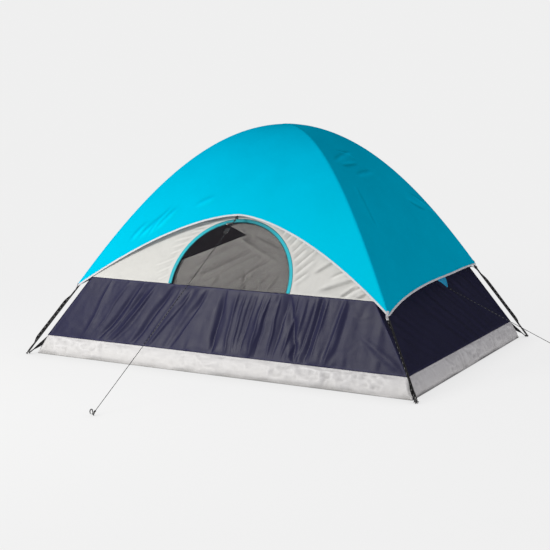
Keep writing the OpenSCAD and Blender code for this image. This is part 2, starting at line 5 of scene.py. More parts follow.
import bmesh
import bpy
import numpy as np
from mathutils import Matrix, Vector


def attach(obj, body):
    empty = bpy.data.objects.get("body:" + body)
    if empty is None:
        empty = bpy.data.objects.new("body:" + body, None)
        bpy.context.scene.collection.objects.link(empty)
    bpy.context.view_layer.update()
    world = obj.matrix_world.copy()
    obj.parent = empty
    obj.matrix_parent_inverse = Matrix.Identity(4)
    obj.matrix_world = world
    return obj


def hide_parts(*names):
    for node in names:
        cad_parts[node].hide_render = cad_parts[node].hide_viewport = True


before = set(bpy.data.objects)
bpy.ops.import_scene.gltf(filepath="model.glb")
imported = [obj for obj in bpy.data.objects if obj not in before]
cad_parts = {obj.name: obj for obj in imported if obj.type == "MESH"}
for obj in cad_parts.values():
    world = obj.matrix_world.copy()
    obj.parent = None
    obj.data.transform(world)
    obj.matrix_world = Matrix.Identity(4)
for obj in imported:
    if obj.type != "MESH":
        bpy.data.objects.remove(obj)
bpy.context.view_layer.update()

# ---- design numbers of the CAD, in metres ----
HALF = np.array([1.422, 1.089])  # half spans between the pole feet
DIAG = math.atan2(HALF[1], HALF[0])
# level out along the first quarter's pole, level square to it, and up
OUT, ASIDE = np.array([math.cos(DIAG), math.sin(DIAG), 0]), np.array([-math.sin(DIAG), math.cos(DIAG), 0])
UP = np.array([0, 0, 1.0])
FLOOR = np.array([1.370, 1.036, 0.0])
TUB_TOP = np.array([1.319, 0.984, 0.122])
BAND_TOP = np.array([1.041, 0.843, 0.526])
ROOF_SHARE, ROOF_APEX, FLY_APEX = 0.4958, 1.487, 1.549
FLY_CORNER_Z, FLY_SKEW = 0.462, 0.090
FLY_MIDDLE_Z = [0.983, 0.569, 0.983, 0.569]  # front, right, back and left, as in all lists of sides
FLY_PULL = [0.020, 0.057, 0.020, 0.012]
ARCH_R, ARCH_LEG, TRIM_W, GAP, WINDOW_X = 0.452, 0.035, 0.035, 0.001, 0.020
OPENING_R = ARCH_R - TRIM_W / 2
FLAP_DEPTH = 0.014
DOOR_SILL = 0.025
POLES = {
    # whether it is the second pole: height at the crossing, bends in degrees, length of the end section
    False: (1.531, [22.52, 24.3, 4.85, 0.0], 0.664),
    True: (1.517, [21.12, 26.1, 4.31, 0.0], 0.658),
}
SECTIONS = 0.35, 0.7, 0.7  # lengths of half the centre section, the upper and the middle section
CORNERS = {
    # whether the second pole stands there, and how far the first quarter is turned to it
    "front_left": (False, 180), "front_right": (True, 0),
    "back_left": (True, 180), "back_right": (False, 0),
}
STRAP_TOP, STRAP_EXTRA, STRAP_ASIDE = 0.558, 0.113, 0.0035
# where each guy line leaves the fly, and where its stake enters the ground
GUYS = {"front": (np.array([0, -0.694, 0.957]), np.array([-0.062, -2.165, 0])),
        "right": (np.array([1.197, 0, 0.500]), np.array([2.320, 0, 0]))}
STAKE_TILT = math.radians(18)
CLOTH_THICK, FLY_THICK, NET_THICK = 0.0012, 0.0011, 0.0006
BAND_STEPS, WALL_STEPS = (0.0065, 0.0085), (0.0060, 0.0095)  # cell size at the front, and elsewhere


def ridge(s):
    """Height of the fly's ridge at a share of the half diagonal, where the crossing is 1."""
    return 1 - 1.1589 * s**2 + 0.0759 * s**4 - (1 - 1.1589 + 0.0759) * s**6


def ridge_share(z):
    """Share of the half diagonal where the fly's ridge comes down to height z."""
    low, high = 0.3, 0.95
    for _ in range(40):
        middle = (low + high) / 2
        low, high = (middle, high) if FLY_APEX * ridge(middle) > z else (low, middle)
    return low


ROOF_EDGE = np.array([*(HALF * ROOF_SHARE), ROOF_APEX * ridge(ROOF_SHARE)])
CORNER_SHARE = [ridge_share(FLY_CORNER_Z), ridge_share(FLY_CORNER_Z + FLY_SKEW)]


def pole_chain(b, i):
    """Radius, height and slope of a pole at the start of its section i, from the crossing out."""
    apex, bends, tail = POLES[b]
    r, z, t = 0.0, apex, 0.0
    for bend, length in list(zip(bends, (*SECTIONS, tail)))[:i]:
        r, z, t = pole_step(r, z, t, bend, length)
    return r, z, t


def pole_step(r, z, t, bend, length):
    """Goes on along a pole by an arc of the given bend and length, or straight on."""
    if not bend:
        return r + length * math.cos(t), z - length * math.sin(t), t
    radius, end = length / math.radians(bend), t + math.radians(bend)
    return r + radius * (math.sin(end) - math.sin(t)), z - radius * (math.cos(t) - math.cos(end)), end


def to_corner(label, p):
    """Carries points or directions of the quarter where x and y are positive to a corner."""
    b, turn = CORNERS[label]
    return np.asarray(p, float) * ((-1 if turn else 1), (-1 if bool(turn) != b else 1), 1)


def foot_frame(label):
    """Origin at a pole's foot in the first quarter, and the axes down the pole and square to it."""
    r, z, t = pole_chain(CORNERS[label][0], 4)
    return OUT * r + UP * z, OUT * math.cos(t) - UP * math.sin(t), OUT * math.sin(t) + UP * math.cos(t)


def at_foot(label, local):
    origin, down, normal = foot_frame(label)
    return to_corner(label, origin + local[:, :1] * down + local[:, 1:2] * ASIDE + local[:, 2:] * normal)


# ---- noise and folds ----
LATTICE = np.random.RandomState(11).uniform(-1, 1, (64, 64))


def smooth(x, low=0.0, high=1.0):
    t = np.clip((x - low) / (high - low), 0, 1)
    return t * t * (3 - 2 * t)


def noise(x, y, seed):
    """Smooth noise between about -1 and 1 with cells of size 1."""
    x, y = x + 19.37 * seed, y + 7.91 * seed
    xi, yi = np.floor(x).astype(int), np.floor(y).astype(int)
    fx, fy = x - xi, y - yi
    fx, fy = fx**3 * (fx * (fx * 6 - 15) + 10), fy**3 * (fy * (fy * 6 - 15) + 10)
    a, b = LATTICE[xi % 64, yi % 64], LATTICE[(xi + 1) % 64, yi % 64]
    c, d = LATTICE[xi % 64, (yi + 1) % 64], LATTICE[(xi + 1) % 64, (yi + 1) % 64]
    return (a + (b - a) * fx) * (1 - fy) + (c + (d - c) * fx) * fy


def folds(across, along, spacing, length, seed):
    """Long tension folds: smooth lobes with creases where they meet."""
    n = noise(across / spacing, along / length, seed)
    m = noise(across / spacing * 0.71 + 4.2, along / length, seed + 3)
    return 0.75 * n + 0.55 * (0.45 - np.sqrt(m * m + 0.004))


def crumple(x, y, size, seed):
    """Creased sheet: facets that meet in soft ridges, at three sizes."""
    h = 0
    for k in range(3):
        q = size / 1.9**k
        wx = x + 0.35 * q * noise(x / q, y / q, seed + 20 + k)
        wy = y + 0.35 * q * noise(x / q, y / q, seed + 30 + k)
        h = h + (0.4 - np.sqrt(noise(wx / q, wy / q, seed + k) ** 2 + 0.003)) / 2.1**k
    return h


def stroke(x, y, start, end, width, height, skew):
    """One fold between two points, fading out at its ends. Skew makes one flank steeper."""
    start, end = np.array(start), np.array(end)
    d = end - start
    length = np.hypot(*d)
    d = d / length
    t = ((x - start[0]) * d[0] + (y - start[1]) * d[1]) / length
    a = (x - start[0]) * d[1] - (y - start[1]) * d[0]
    w = width * (1 + skew * np.sign(a)) * (0.55 + 0.45 * np.sin(np.pi * np.clip(t, 0, 1)))
    fade = smooth(t, -0.08, 0.3) * smooth(1 - t, -0.08, 0.3)
    return height * fade * np.exp(-np.abs(a / w) ** 1.7)


def laplace(p):
    out = np.zeros_like(p)
    out[1:-1, 1:-1] = (p[:-2, 1:-1] + p[2:, 1:-1] + p[1:-1, :-2] + p[1:-1, 2:]) / 4 - p[1:-1, 1:-1]
    return out


def unit(v):
    return v / np.linalg.norm(v, axis=-1, keepdims=True)


def square_to(v, axis):
    """The part of v that is square to the unit axis, at length 1."""
    return unit(v - (v * axis).sum(-1, keepdims=True) * axis)


def run_along(path):
    """Distance from the path's start at each of its points."""
    return np.concatenate([[0], np.cumsum(np.linalg.norm(np.diff(path, axis=0), axis=1))])


def grid(rows, cols):
    return np.meshgrid(rows, cols, indexing="ij")


def pack(p, *columns):
    """Rows of data for add(), from grids of points and of further columns."""
    data = np.dstack([p, *columns])
    return data.reshape(-1, data.shape[-1])


def hollows(p, way=1, soften=3):
    """How hollow a grid of points is: 1 in a sharp valley of the cloth, below 0 on a crest. It sets the
    painted fold shade: painted shade in valleys and a painted highlight on crests.
    """
    rows, cols = np.gradient(p, axis=0), np.gradient(p, axis=1)
    out = np.cross(cols, rows) * way
    cell = np.linalg.norm(out, axis=-1, keepdims=True)
    curve = (laplace(p) * out / np.maximum(cell, 1e-12)).sum(-1) * 4 / np.maximum(cell[..., 0], 1e-12)
    for _ in range(soften):
        curve = curve + 0.6 * laplace(curve)
    return np.clip(0.016 * np.where(curve > 0, curve, 0.4 * curve), -0.4, 1)


RELAX_STEPS, RELAX_BEND = 260, 0.22


def relax(points, x, y, free, excess, lean):
    """Lets a pinned cloth buckle. The cloth is longer than its flat shape by the excess, square to
    the folds' lean. Each pass moves neighbours to their cloth lengths, and bending irons out kinks."""
    rows, cols = x.shape
    across = unit(np.stack([1 + 0 * lean, -lean], -1))
    flat = np.stack([x, y], -1)
    moves = []
    for dr, dc in ((0, 1), (1, 0), (1, 1), (1, -1)):
        for start in (0, 1):
            if dc:
                r, c = np.arange(rows - dr), np.arange(start + (dc < 0), cols - (dc > 0), 2)
            else:
                r, c = np.arange(start, rows - dr, 2), np.arange(cols)
            # of a slanted link's rows only every second one, so that no point is moved twice at once
            for some in ((r[::2], r[1::2]) if dr and dc else (r,)):
                a, b = np.ix_(some, c), np.ix_(some + dr, c + dc)
                d = flat[b] - flat[a]
                e = (excess[a] + excess[b]) / 2
                n = (across[a] + across[b]) / 2
                rest = np.sqrt((d**2).sum(-1) + 2 * e * (d * n).sum(-1) ** 2)
                wa, wb = free[a], free[b]
                total = np.maximum(wa + wb, 1e-9)
                moves.append((a, b, rest, (wa / total)[..., None], (wb / total)[..., None]))
    p = points.copy()
    for _ in range(RELAX_STEPS):
        for a, b, rest, wa, wb in moves:
            d = p[b] - p[a]
            length = np.sqrt((d**2).sum(-1))
            push = d * ((length - rest) / np.maximum(length, 1e-9))[..., None]
            p[a] += push * wa
            p[b] -= push * wb
        p -= RELAX_BEND * laplace(laplace(p)) * free[..., None]
    return p


# ---- meshes ----
def grid_faces(rows, cols, wrap=False):
    r, c = grid(np.arange(rows - 1), np.arange(cols if wrap else cols - 1))
    r, c = r.ravel(), c.ravel()
    n = (c + 1) % cols
    return np.stack([r * cols + c, r * cols + n, (r + 1) * cols + n, (r + 1) * cols + c], 1)


def to_triangles(quads):
    return np.concatenate([quads[:, [0, 1, 2]], quads[:, [0, 2, 3]]])


def clip(data, tris, field):
    """The part of a triangle mesh where the field is above 0, cut along the field's zero line."""
    inside = field > 0
    count = inside[tris].sum(1)
    kept, extra, cuts = [tris[count == 3]], [], {}

    def cut(i, j):
        key = (min(i, j), max(i, j))
        if key not in cuts:
            cuts[key] = len(data) + len(extra)
            t = field[i] / (field[i] - field[j])
            extra.append(data[i] * (1 - t) + data[j] * t)
        return cuts[key]

    made = []
    for tri in tris[(count == 1) | (count == 2)]:
        alone = inside[tri].sum() == 1
        k = [bool(v) == alone for v in inside[tri]].index(True)
        a, b, c = (int(tri[(k + q) % 3]) for q in range(3))
        p, q = cut(a, b), cut(a, c)
        made += [[a, p, q]] if alone else [[p, b, c], [p, c, q]]
    if made:
        kept.append(np.array(made))
        data = np.vstack([data, np.array(extra)])
    tris = np.concatenate(kept)
    used, tris = np.unique(tris, return_inverse=True)
    return data[used], tris.reshape(-1, 3)


def clip_grid(data, field):
    """A whole grid, cut along the field's zero line."""
    return clip(data, to_triangles(grid_faces(*field.shape)), field.ravel())


def add(name, data, faces, material, body="tent", stands_for="", slot=None, thick=0.0, closed=False):
    """Makes a piece. Columns of data: x y z, then u v in metres, then distance to a sewn edge, place
    along it, and how hollow the cloth is there. The slot argument is not used."""
    mesh = bpy.data.meshes.new(name)
    mesh.from_pydata(data[:, :3].tolist(), [], [list(map(int, f)) for f in faces])
    if closed:
        work = bmesh.new()
        work.from_mesh(mesh)
        bmesh.ops.recalc_face_normals(work, faces=work.faces)
        work.to_mesh(mesh)
        work.free()
    mesh.update()
    mesh.shade_smooth()
    loops = np.empty(len(mesh.loops), np.int32)
    mesh.loops.foreach_get("vertex_index", loops)
    layer = mesh.uv_layers.new(name="UVMap")
    layer.data.foreach_set("uv", data[loops, 3:5].astype(np.float32).ravel())
    # The hollow column drives the painted fold shade in the cloth's material.
    for column, label in zip(data.T[5:], ("seam", "run", "hollow")):
        attribute = mesh.attributes.new(label, "FLOAT", "POINT")
        attribute.data.foreach_set("value", column.astype(np.float32))
    piece = bpy.data.objects.new(name, mesh)
    bpy.context.scene.collection.objects.link(piece)
    mesh.materials.append(MATERIALS[material])
    if thick:
        m = piece.modifiers.new("thickness", "SOLIDIFY")
        m.thickness, m.offset, m.use_even_offset = thick, 0.0, False
    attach(piece, body)
    if stands_for:
        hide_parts(stands_for)


def path_frames(path, up):
    """Tangent, sideways and upward directions along a path."""
    tangent = unit(np.gradient(path, axis=0))
    side = unit(np.cross(tangent, np.broadcast_to(up, path.shape)))
    return tangent, side, np.cross(side, tangent)


def sweep(path, side, up, profile, closed=False):
    """Carries a closed outline (m x 2, or n x m x 2) along a path. Returns data and faces."""
    n = len(path)
    profile = np.broadcast_to(profile, (n,) + profile.shape[-2:])
    m = profile.shape[1]
    points = path[:, None] + side[:, None] * profile[..., :1] + up[:, None] * profile[..., 1:]
    run = run_along(path)
    u = np.broadcast_to(run[:, None], (n, m))
    v = np.broadcast_to(run_along(profile[0])[None], (n, m))
    width = profile[..., 0].max() - np.abs(profile[..., 0])
    data = np.dstack([points, u, v, width, u]).reshape(-1, 7)
    faces = grid_faces(n + 1 if closed else n, m, wrap=True)
    faces = [list(f) for f in (faces % (n * m))]
    if not closed:
        faces.append(list(range(m)))
        faces.append(list(range((n - 1) * m, n * m))[::-1])
    return data, faces


def rounded(width, thick, crown=0.0):
    """Outline of a flat strap with round edges, thicker in the middle by the crown."""
    r = thick / 2
    points = []
    for centre, first in ((width / 2 - r, -90), (r - width / 2, 90)):
        for degrees in range(first, first + 181, 30):
            a = math.radians(degrees)
            points.append([centre + r * math.cos(a), r * math.sin(a)])
        if first == -90:
            for q in (0.5, 0.0, -0.5):
                points.append([q * (width / 2 - r), r + crown * (1 - q * q)])
    for q in (-0.5, 0.0, 0.5):
        points.append([q * (width / 2 - r), -r])
    return np.array(points)


def circle(radius, count):
    a = np.linspace(0, 2 * np.pi, count, endpoint=False)
    return np.stack([radius * np.cos(a), radius * np.sin(a)], 1)


def resample(points, step):
    points = np.asarray(points, float)
    run = run_along(points)
    t = np.linspace(0, run[-1], max(2, int(round(run[-1] / step)) + 1))
    return np.stack([np.interp(t, run, points[:, k]) for k in range(points.shape[1])], 1)


# ---- materials ----
class Shader:
    def __init__(self, name):
        self.material = bpy.data.materials.new(name)
        self.material.use_nodes = True
        self.tree = self.material.node_tree
        self.tree.nodes.clear()

    def node(self, kind, inputs=None, **settings):
        made = self.tree.nodes.new("ShaderNode" + kind)
        for key, value in settings.items():
            setattr(made, key, value)
        for key, value in (inputs or {}).items():
            if isinstance(value, bpy.types.NodeSocket):
                self.tree.links.new(value, made.inputs[key])
            else:
                made.inputs[key].default_value = value
        return made

    def out(self, kind, inputs=None, **settings):
        """The first output of a new node."""
        return self.node(kind, inputs, **settings).outputs[0]

    def math(self, operation, a, b=0.0, c=0.0):
        return self.out("Math", {0: a, 1: b, 2: c}, operation=operation)

    def times(self, a, b):
        return self.math("MULTIPLY", a, b)

    def value(self, attribute):
        return self.node("Attribute", attribute_name=attribute).outputs["Fac"]

    def scaled(self, color, share):
        return self.out("VectorMath", {0: color, "Scale": share}, operation="SCALE")

    def spread(self, value, low, high, to_low, to_high):
        return self.out("MapRange", {0: value, 1: low, 2: high, 3: to_low, 4: to_high}, clamp=True)

    def mix(self, share, a, b):
        return self.node("Mix", {0: share, 6: a, 7: b}, data_type="RGBA").outputs[2]

    def noise(self, vector, scale, detail=3.0, roughness=0.5):
        keys = {"Vector": vector, "Scale": scale, "Detail": detail, "Roughness": roughness}
        return self.node("TexNoise", keys).outputs["Fac"]

    def finish(self, surface):
        out = self.node("OutputMaterial")
        self.tree.links.new(surface, out.inputs["Surface"])
        return self.material


def rgba(color, k=1.0):
    return (*(min(c * k, 1) for c in color), 1)


STITCH = 0.0042  # length of a stitch and the gap after it
STITCH_ROWS = (0.0045, 0.0115)  # distance of the two stitch rows from a sewn edge


def fabric(name, color, rough=0.6, specular=0.3, pitch=0.0012, bump=0.3, through=0.12, vary=0.08,
           thread=1.25, ground_darkening=0.0, gloss=None, painted_overhang_shadow=False, painted_fold_shade=0.0):
    """Woven cloth: weave bump, slubs, soft colour and gloss variation, stitch rows along sewn edges.
    A gloss is a coloured sheen over matt cloth. The overhang shadow is a painted shadow that darkens what
    lies under other cloth, and the fold shade is painted shade, darker in a hollow and lighter on a crest.
    The ground darkening makes the cloth darker and browner in patches towards the ground."""
    s = Shader(name)
    place = s.node("TexCoord").outputs["UV"]
    xyz = s.node("SeparateXYZ", {0: place}).outputs
    warp, weft = (s.math("SINE", s.times(xyz[axis], 2 * math.pi / pitch)) for axis in (0, 1))
    weave = s.times(warp, weft)
    cloud = s.noise(place, 4.0, 4.0, 0.6)
    slub = s.noise(s.out("Mapping", {"Vector": place, "Scale": (30, 900, 1)}), 1.0, 2.0)
    seam = s.value("seam")
    dash = s.math("LESS_THAN", s.math("FRACT", s.times(s.value("run"), 1 / STITCH)), 0.68)
    first, second = (s.math("LESS_THAN", s.math("ABSOLUTE", s.math("SUBTRACT", seam, at)), 0.0006)
                     for at in STITCH_ROWS)
    sewn = s.times(s.math("MAXIMUM", first, second), dash)
    shade = s.times(s.spread(cloud, 0.3, 0.7, 1 - vary, 1 + vary), s.spread(slub, 0.3, 0.7, 0.97, 1.03))
    shade = s.times(shade, s.spread(weave, -1.0, 1.0, 0.96, 1.04))
    tone = s.scaled(color, shade)
    # Painted shade in the cloth's folds: darker in a hollow, with a painted highlight on a crest.
    if painted_fold_shade:
        tone = s.scaled(tone, s.math("MULTIPLY_ADD", s.value("hollow"), -painted_fold_shade, 1.0))
    # Darker and browner in noisy patches towards the ground.
    if ground_darkening:
        height = s.node("SeparateXYZ", {0: s.node("NewGeometry").outputs["Position"]}).outputs[2]
        ground_dark = s.times(s.spread(height, 0.0, 0.09, ground_darkening, 0.0), s.noise(place, 14.0, 5.0))
        tone = s.mix(ground_dark, tone, (0.36, 0.33, 0.29, 1))
    # Painted shadow of the cloth overhead: an occlusion test darkens what lies under other cloth.
    if painted_overhang_shadow:
        open_share = s.node("AmbientOcclusion", {"Distance": 0.35}, samples=8).outputs["AO"]
        tone = s.scaled(tone, s.spread(open_share, 0.50, 0.95, 0.25, 1.0))
    worn = s.times(s.spread(seam, 0.0, 0.004, 0.22, 0.0), s.noise(place, 60.0, 3.0))
    tone = s.mix(worn, tone, rgba(color, 1.5))
    tone = s.mix(sewn, tone, rgba(color, thread))
    height = s.math("ADD", s.times(weave, 0.5), s.times(slub, 0.6))
    height = s.math("ADD", height, s.times(sewn, 1.6))
    normal = s.out("Bump", {"Strength": bump, "Distance": 0.0003, "Height": height})
    sheen = s.spread(cloud, 0.3, 0.7, rough - 0.05, rough + 0.06)
    if gloss:
        matt = s.out("BsdfDiffuse", {"Color": tone, "Normal": normal})
        shine = s.out("BsdfAnisotropic", {"Color": rgba(gloss), "Roughness": sheen, "Normal": normal})
        body = s.out("AddShader", {0: matt, 1: shine})
    else:
        body = s.out("BsdfPrincipled", {"Base Color": tone, "Roughness": sheen,
                                        "Specular IOR Level": specular, "Normal": normal})
    if through:
        lit = s.out("BsdfTranslucent", {"Color": tone, "Normal": normal})
        body = s.out("MixShader", {0: through, 1: body, 2: lit})
    return s.finish(body)


def net(name, color, cover, pitch=0.0024):
    """Insect netting: a fine grid of threads with open holes."""
    s = Shader(name)
    xyz = s.node("SeparateXYZ", {0: s.node("TexCoord").outputs["UV"]}).outputs
    rows = [s.math("LESS_THAN", s.math("FRACT", s.times(xyz[axis], 1 / pitch)), cover) for axis in (0, 1)]
    threads = s.math("MAXIMUM", *rows)
    body = s.out("BsdfPrincipled", {"Base Color": rgba(color), "Roughness": 0.7, "Specular IOR Level": 0.2})
    return s.finish(s.out("MixShader", {0: threads, 1: s.out("BsdfTransparent"), 2: body}))


def webbing(name, color, pitch=0.0022, ribs=True, tracer=None):
    """Woven tape: ribs along it and cross threads. A tracer is a pale dashed thread: its period, the
    share that shows, the strip it runs in and its shade."""
    s = Shader(name)
    place = s.node("TexCoord").outputs["UV"]
    xyz = s.node("SeparateXYZ", {0: place}).outputs
    cross = s.math("SINE", s.times(xyz[0], 2 * math.pi / pitch))
    along = s.math("SINE", s.times(xyz[1], 2 * math.pi / (pitch * 0.8)))
    weave = s.math("ADD", cross, s.times(along, 0.4)) if ribs else s.times(cross, along)
    fuzz = s.noise(place, 900.0, 2.0)
    shade = s.times(s.spread(weave, -1, 1, 0.75, 1.2), s.spread(fuzz, 0.3, 0.7, 0.85, 1.15))
    tone = s.scaled(color, shade)
    if tracer:
        period, lit, low, high, pale = tracer
        at = s.value("seam")
        dash = s.math("LESS_THAN", s.math("FRACT", s.times(xyz[0], 1 / period)), lit)
        inside = s.times(s.math("GREATER_THAN", at, low), s.math("LESS_THAN", at, high))
        tone = s.mix(s.times(dash, inside), tone, (pale, pale, pale, 1))
    normal = s.out("Bump", {"Strength": 0.5, "Distance": 0.0005, "Height": weave})
    return s.finish(s.out("BsdfPrincipled", {"Base Color": tone, "Roughness": 0.75,
                                             "Specular IOR Level": 0.25, "Normal": normal}))


def hard(name, color, rough=0.4, metallic=0.0, grain=220.0, bump=0.1, scuff=(0.5, 0.5, 0.5), wear=0.15):
    """Metal, glass fibre or moulded plastic with fine grain, gloss variation and scuffed edges."""
    s = Shader(name)
    place = s.node("TexCoord").outputs["Object"]
    fine, wide = s.noise(place, grain, 4.0), s.noise(place, 18.0, 4.0, 0.6)
    edge = s.node("NewGeometry").outputs["Pointiness"]
    rubbed = s.times(s.spread(edge, 0.5, 0.6, 0.0, 1.0), wear * 3)
    spots = s.times(s.spread(wide, 0.58, 0.72, 0.0, 1.0), wear)
    tone = s.scaled(color, s.spread(fine, 0.3, 0.7, 0.88, 1.12))
    tone = s.mix(s.math("MAXIMUM", rubbed, spots), tone, rgba(scuff))
    normal = s.out("Bump", {"Strength": bump, "Distance": 0.0004, "Height": fine})
    sheen = s.spread(wide, 0.3, 0.7, rough - 0.08, rough + 0.1)
    return s.finish(s.out("BsdfPrincipled", {"Base Color": tone, "Metallic": metallic,
                                             "Roughness": sheen, "Normal": normal}))


# The fold shade values set painted shade in the folds, and the trim carries a painted shadow under the fly.
MATERIALS = {
    "fly": fabric("fly_polyester", (0.0, 0.375, 0.61), rough=0.58, gloss=(0.0, 0.125, 0.11), vary=0.03,
                  painted_fold_shade=0.5, thread=0.75),
    "wall": fabric("wall_polyester", (0.56, 0.56, 0.54), specular=0.25, through=0.08, vary=0.03,
                   painted_fold_shade=0.35),
    "band": fabric("band_polyester", (0.015, 0.015, 0.048), rough=0.48, specular=0.26, through=0.0,
                   vary=0.10, thread=2.4),
    "tub": fabric("bathtub_polyethylene", (0.575, 0.57, 0.575), rough=0.45, specular=0.35, pitch=0.002,
                  painted_fold_shade=0.30, through=0.05, vary=0.04, ground_darkening=0.35),
    "floor": fabric("floor_polyethylene", (0.30, 0.30, 0.30), rough=0.5, pitch=0.002, through=0.0),
    "flap": fabric("flap_polyester", (0.82, 0.80, 0.765), rough=0.65, specular=0.2, through=0.03,
                   painted_fold_shade=0.40, vary=0.05),
    "trim": fabric("trim_tape", (0.01, 0.38, 0.46), rough=0.55, pitch=0.0009, bump=0.5, through=0.0,
                   painted_overhang_shadow=True),
    "tab": fabric("tab_fabric", (0.01, 0.31, 0.55), specular=0.2, through=0.05),
    "binding": fabric("binding_tape", (0.56, 0.56, 0.58), rough=0.7, specular=0.2, pitch=0.0009,
                      bump=0.5, through=0.05),
    "sleeve": fabric("sleeve_polyester", (0.035, 0.035, 0.045), specular=0.4, through=0.0, thread=2.0),
    "roof_net": net("roof_netting", (0.045, 0.045, 0.05), 0.30),
    "window_net": net("window_netting", (0.016, 0.013, 0.019), 0.245),
    "webbing": webbing("black_webbing", (0.018, 0.018, 0.02)),
    "elastic": webbing("black_elastic", (0.010, 0.010, 0.011), pitch=0.0016,
                       tracer=(0.034, 0.35, 0.0060, 0.0100, 0.30)),
    "cord": webbing("guy_cord_braid", (0.02, 0.02, 0.022), pitch=0.0034, ribs=False,
                    tracer=(0.026, 0.35, -1.0, 1.0, 0.12)),
    "pole": hard("black_fibreglass", (0.006, 0.006, 0.007), rough=0.38, grain=700, bump=0.12, wear=0.02),
    "steel": hard("zinc_steel", (0.50, 0.50, 0.52), rough=0.35, metallic=1.0, scuff=(0.3, 0.28, 0.26)),
    "stake": hard("painted_steel", (0.014, 0.014, 0.016), scuff=(0.4, 0.4, 0.41), wear=0.25),
    "plastic": hard("moulded_plastic", (0.016, 0.016, 0.018), rough=0.5, grain=900, bump=0.2, wear=0.06),
    "zip": hard("zip_metal", (0.03, 0.03, 0.033), rough=0.35, metallic=0.8, wear=0.2),
    "coil": hard("zip_coil_nylon", (0.01, 0.05, 0.065), rough=0.5, grain=900),
    "shock": webbing("shock_cord_braid", (0.55, 0.55, 0.53), pitch=0.002, ribs=False),
}


# ---- inner tent panels ----
class Panel:
    """A flat side of the inner tent: x along the side, y up the slope, z out of the tent."""

    def __init__(self, side, low, high):
        way = 1 if side % 2 == 0 else 0
        self.side = side
        self.a, self.b = low[1 - way], high[1 - way]
        self.out, rise = low[way], high[2] - low[2]
        self.lean = math.atan2(low[way] - high[way], rise)
        self.h = math.hypot(low[way] - high[way], rise)
        self.z = low[2]

    def points(self, x, y, n):
        c, s = math.cos(self.lean), math.sin(self.lean)
        p = np.stack([x + 0 * y, -self.out + y * s - n * c, self.z + y * c + n * s], -1)
        return turned(p, self.side)

    def half(self, y):
        """Half the panel's width at a height."""
        return self.a + (self.b - self.a) * y / self.h

    def grid(self, step):
        """Points of a trapezoid grid: x, y, share across from -1 to 1 and share up."""
        cols, rows = int(2 * self.a / step) + 1, int(self.h / step) + 1
        v, u = grid(np.linspace(0, 1, rows), np.linspace(-1, 1, cols))
        return u * (self.a + (self.b - self.a) * v), v * self.h, u, v

    def edge_distance(self, x, y):
        """Distance to the nearest sewn edge, and the place along it."""
        k = self.h / math.hypot(self.h, self.a - self.b)
        to_side = (self.half(y) - np.abs(x)) * k
        to_level = np.minimum(y, self.h - y)
        return np.minimum(to_side, to_level), np.where(to_side < to_level, y, x)


def turned(p, side):
    for _ in range(side):
        p = np.stack([-p[..., 1], p[..., 0], p[..., 2]], -1)
    return p


def seam_wave(x, side, level):
    """How far a level seam stands out, the same for both cloths sewn there."""
    return 0.0016 * noise(x / 0.11, side * 3.7 + level * 11.3 + 0 * x, 5)


def pushed_out(p, push, side):
    """Moves points level, straight out of a side."""
    return p + turned(np.stack([0 * push, -push, 0 * push], -1), side)


def panel_data(panel, x, y, n, level, free, excess, lean, detail):
    """Adds the waves of the seam at a level and of the next one up, lets the cloth buckle and adds
    the fine detail."""
    near = np.exp(-((y / 0.06) ** 2)), np.exp(-(((panel.h - y) / 0.06) ** 2))
    push = seam_wave(x, panel.side, level) * near[0] + seam_wave(x, panel.side, level + 1) * near[1]
    push = push * smooth(1 - np.abs(x) / panel.half(y), 0, 0.06)
    p = pushed_out(panel.points(x, y, n), push, panel.side)
    p = relax(p, x, y, free, excess, lean)
    outward = turned(np.array([0, -math.cos(panel.lean), math.sin(panel.lean)]), panel.side)
    p = p + outward * detail[..., None]
    return pack(p, x, y, *panel.edge_distance(x, y), hollows(p))


def arch_field(x, y, r):
    """Above 0 inside the window's arch, 0 on its outline, in metres."""
    return r - np.hypot(x, np.maximum(y - ARCH_LEG, 0))


BAND_FOLDS = {
    # side: lean of the folds at the panel's two ends, spacing and height of the first folds, cloth excess
    0: (0.62, 0.22, 0.110, 0.0060, 0.018),
    1: (-1.15, -0.95, 0.060, 0.0036, 0.010),
    2: (0.35, -0.30, 0.110, 0.0055, 0.018),
    3: (0.80, 0.90, 0.070, 0.0030, 0.010),
}
FRONT_BAND_CREASES = (
    # place at the top seam, place at the foot seam, width, height
    (0.475, 0.575, 0.022, -0.011), (0.475, 0.40, 0.016, -0.008), (0.60, 0.52, 0.020, 0.007),
    (-0.62, -0.90, 0.018, -0.008), (-0.50, -0.80, 0.013, 0.006), (-0.36, -0.62, 0.018, -0.009),
    (-0.22, -0.50, 0.012, 0.006), (-0.10, -0.34, 0.016, -0.007), (0.03, -0.03, 0.020, -0.011),
    (0.12, 0.07, 0.014, 0.007), (0.26, 0.17, 0.014, -0.006), (0.36, 0.24, 0.018, 0.007),
    (0.70, 0.64, 0.016, -0.009), (0.86, 0.78, 0.014, 0.006), (-0.86, -1.02, 0.014, 0.004),
)
FRONT_BAND_PLEATS = (
    (0.175, 0.115, 0.013, 0.008), (0.225, 0.150, 0.010, -0.007), (0.315, 0.235, 0.014, 0.009),
    (0.365, 0.275, 0.010, -0.008), (0.42, 0.36, 0.012, 0.009), (0.53, 0.47, 0.015, 0.010),
    (0.66, 0.585, 0.013, -0.009), (0.74, 0.68, 0.012, 0.007), (-0.30, -0.53, 0.012, 0.006),
    (-0.56, -0.84, 0.010, -0.006), (-0.72, -0.97, 0.012, 0.005),
)


def band_lean(side, x, y):
    low, high = BAND_FOLDS[side][:2]
    lean = low + (high - low) * smooth(x, -1.3, 1.3) + 0.22 * noise(x / 0.30, y / 0.6, 45 + side)
    if side == 0:
        lean = lean - 0.75 * np.exp(-(((x - 0.50) / 0.09) ** 2))
    return lean


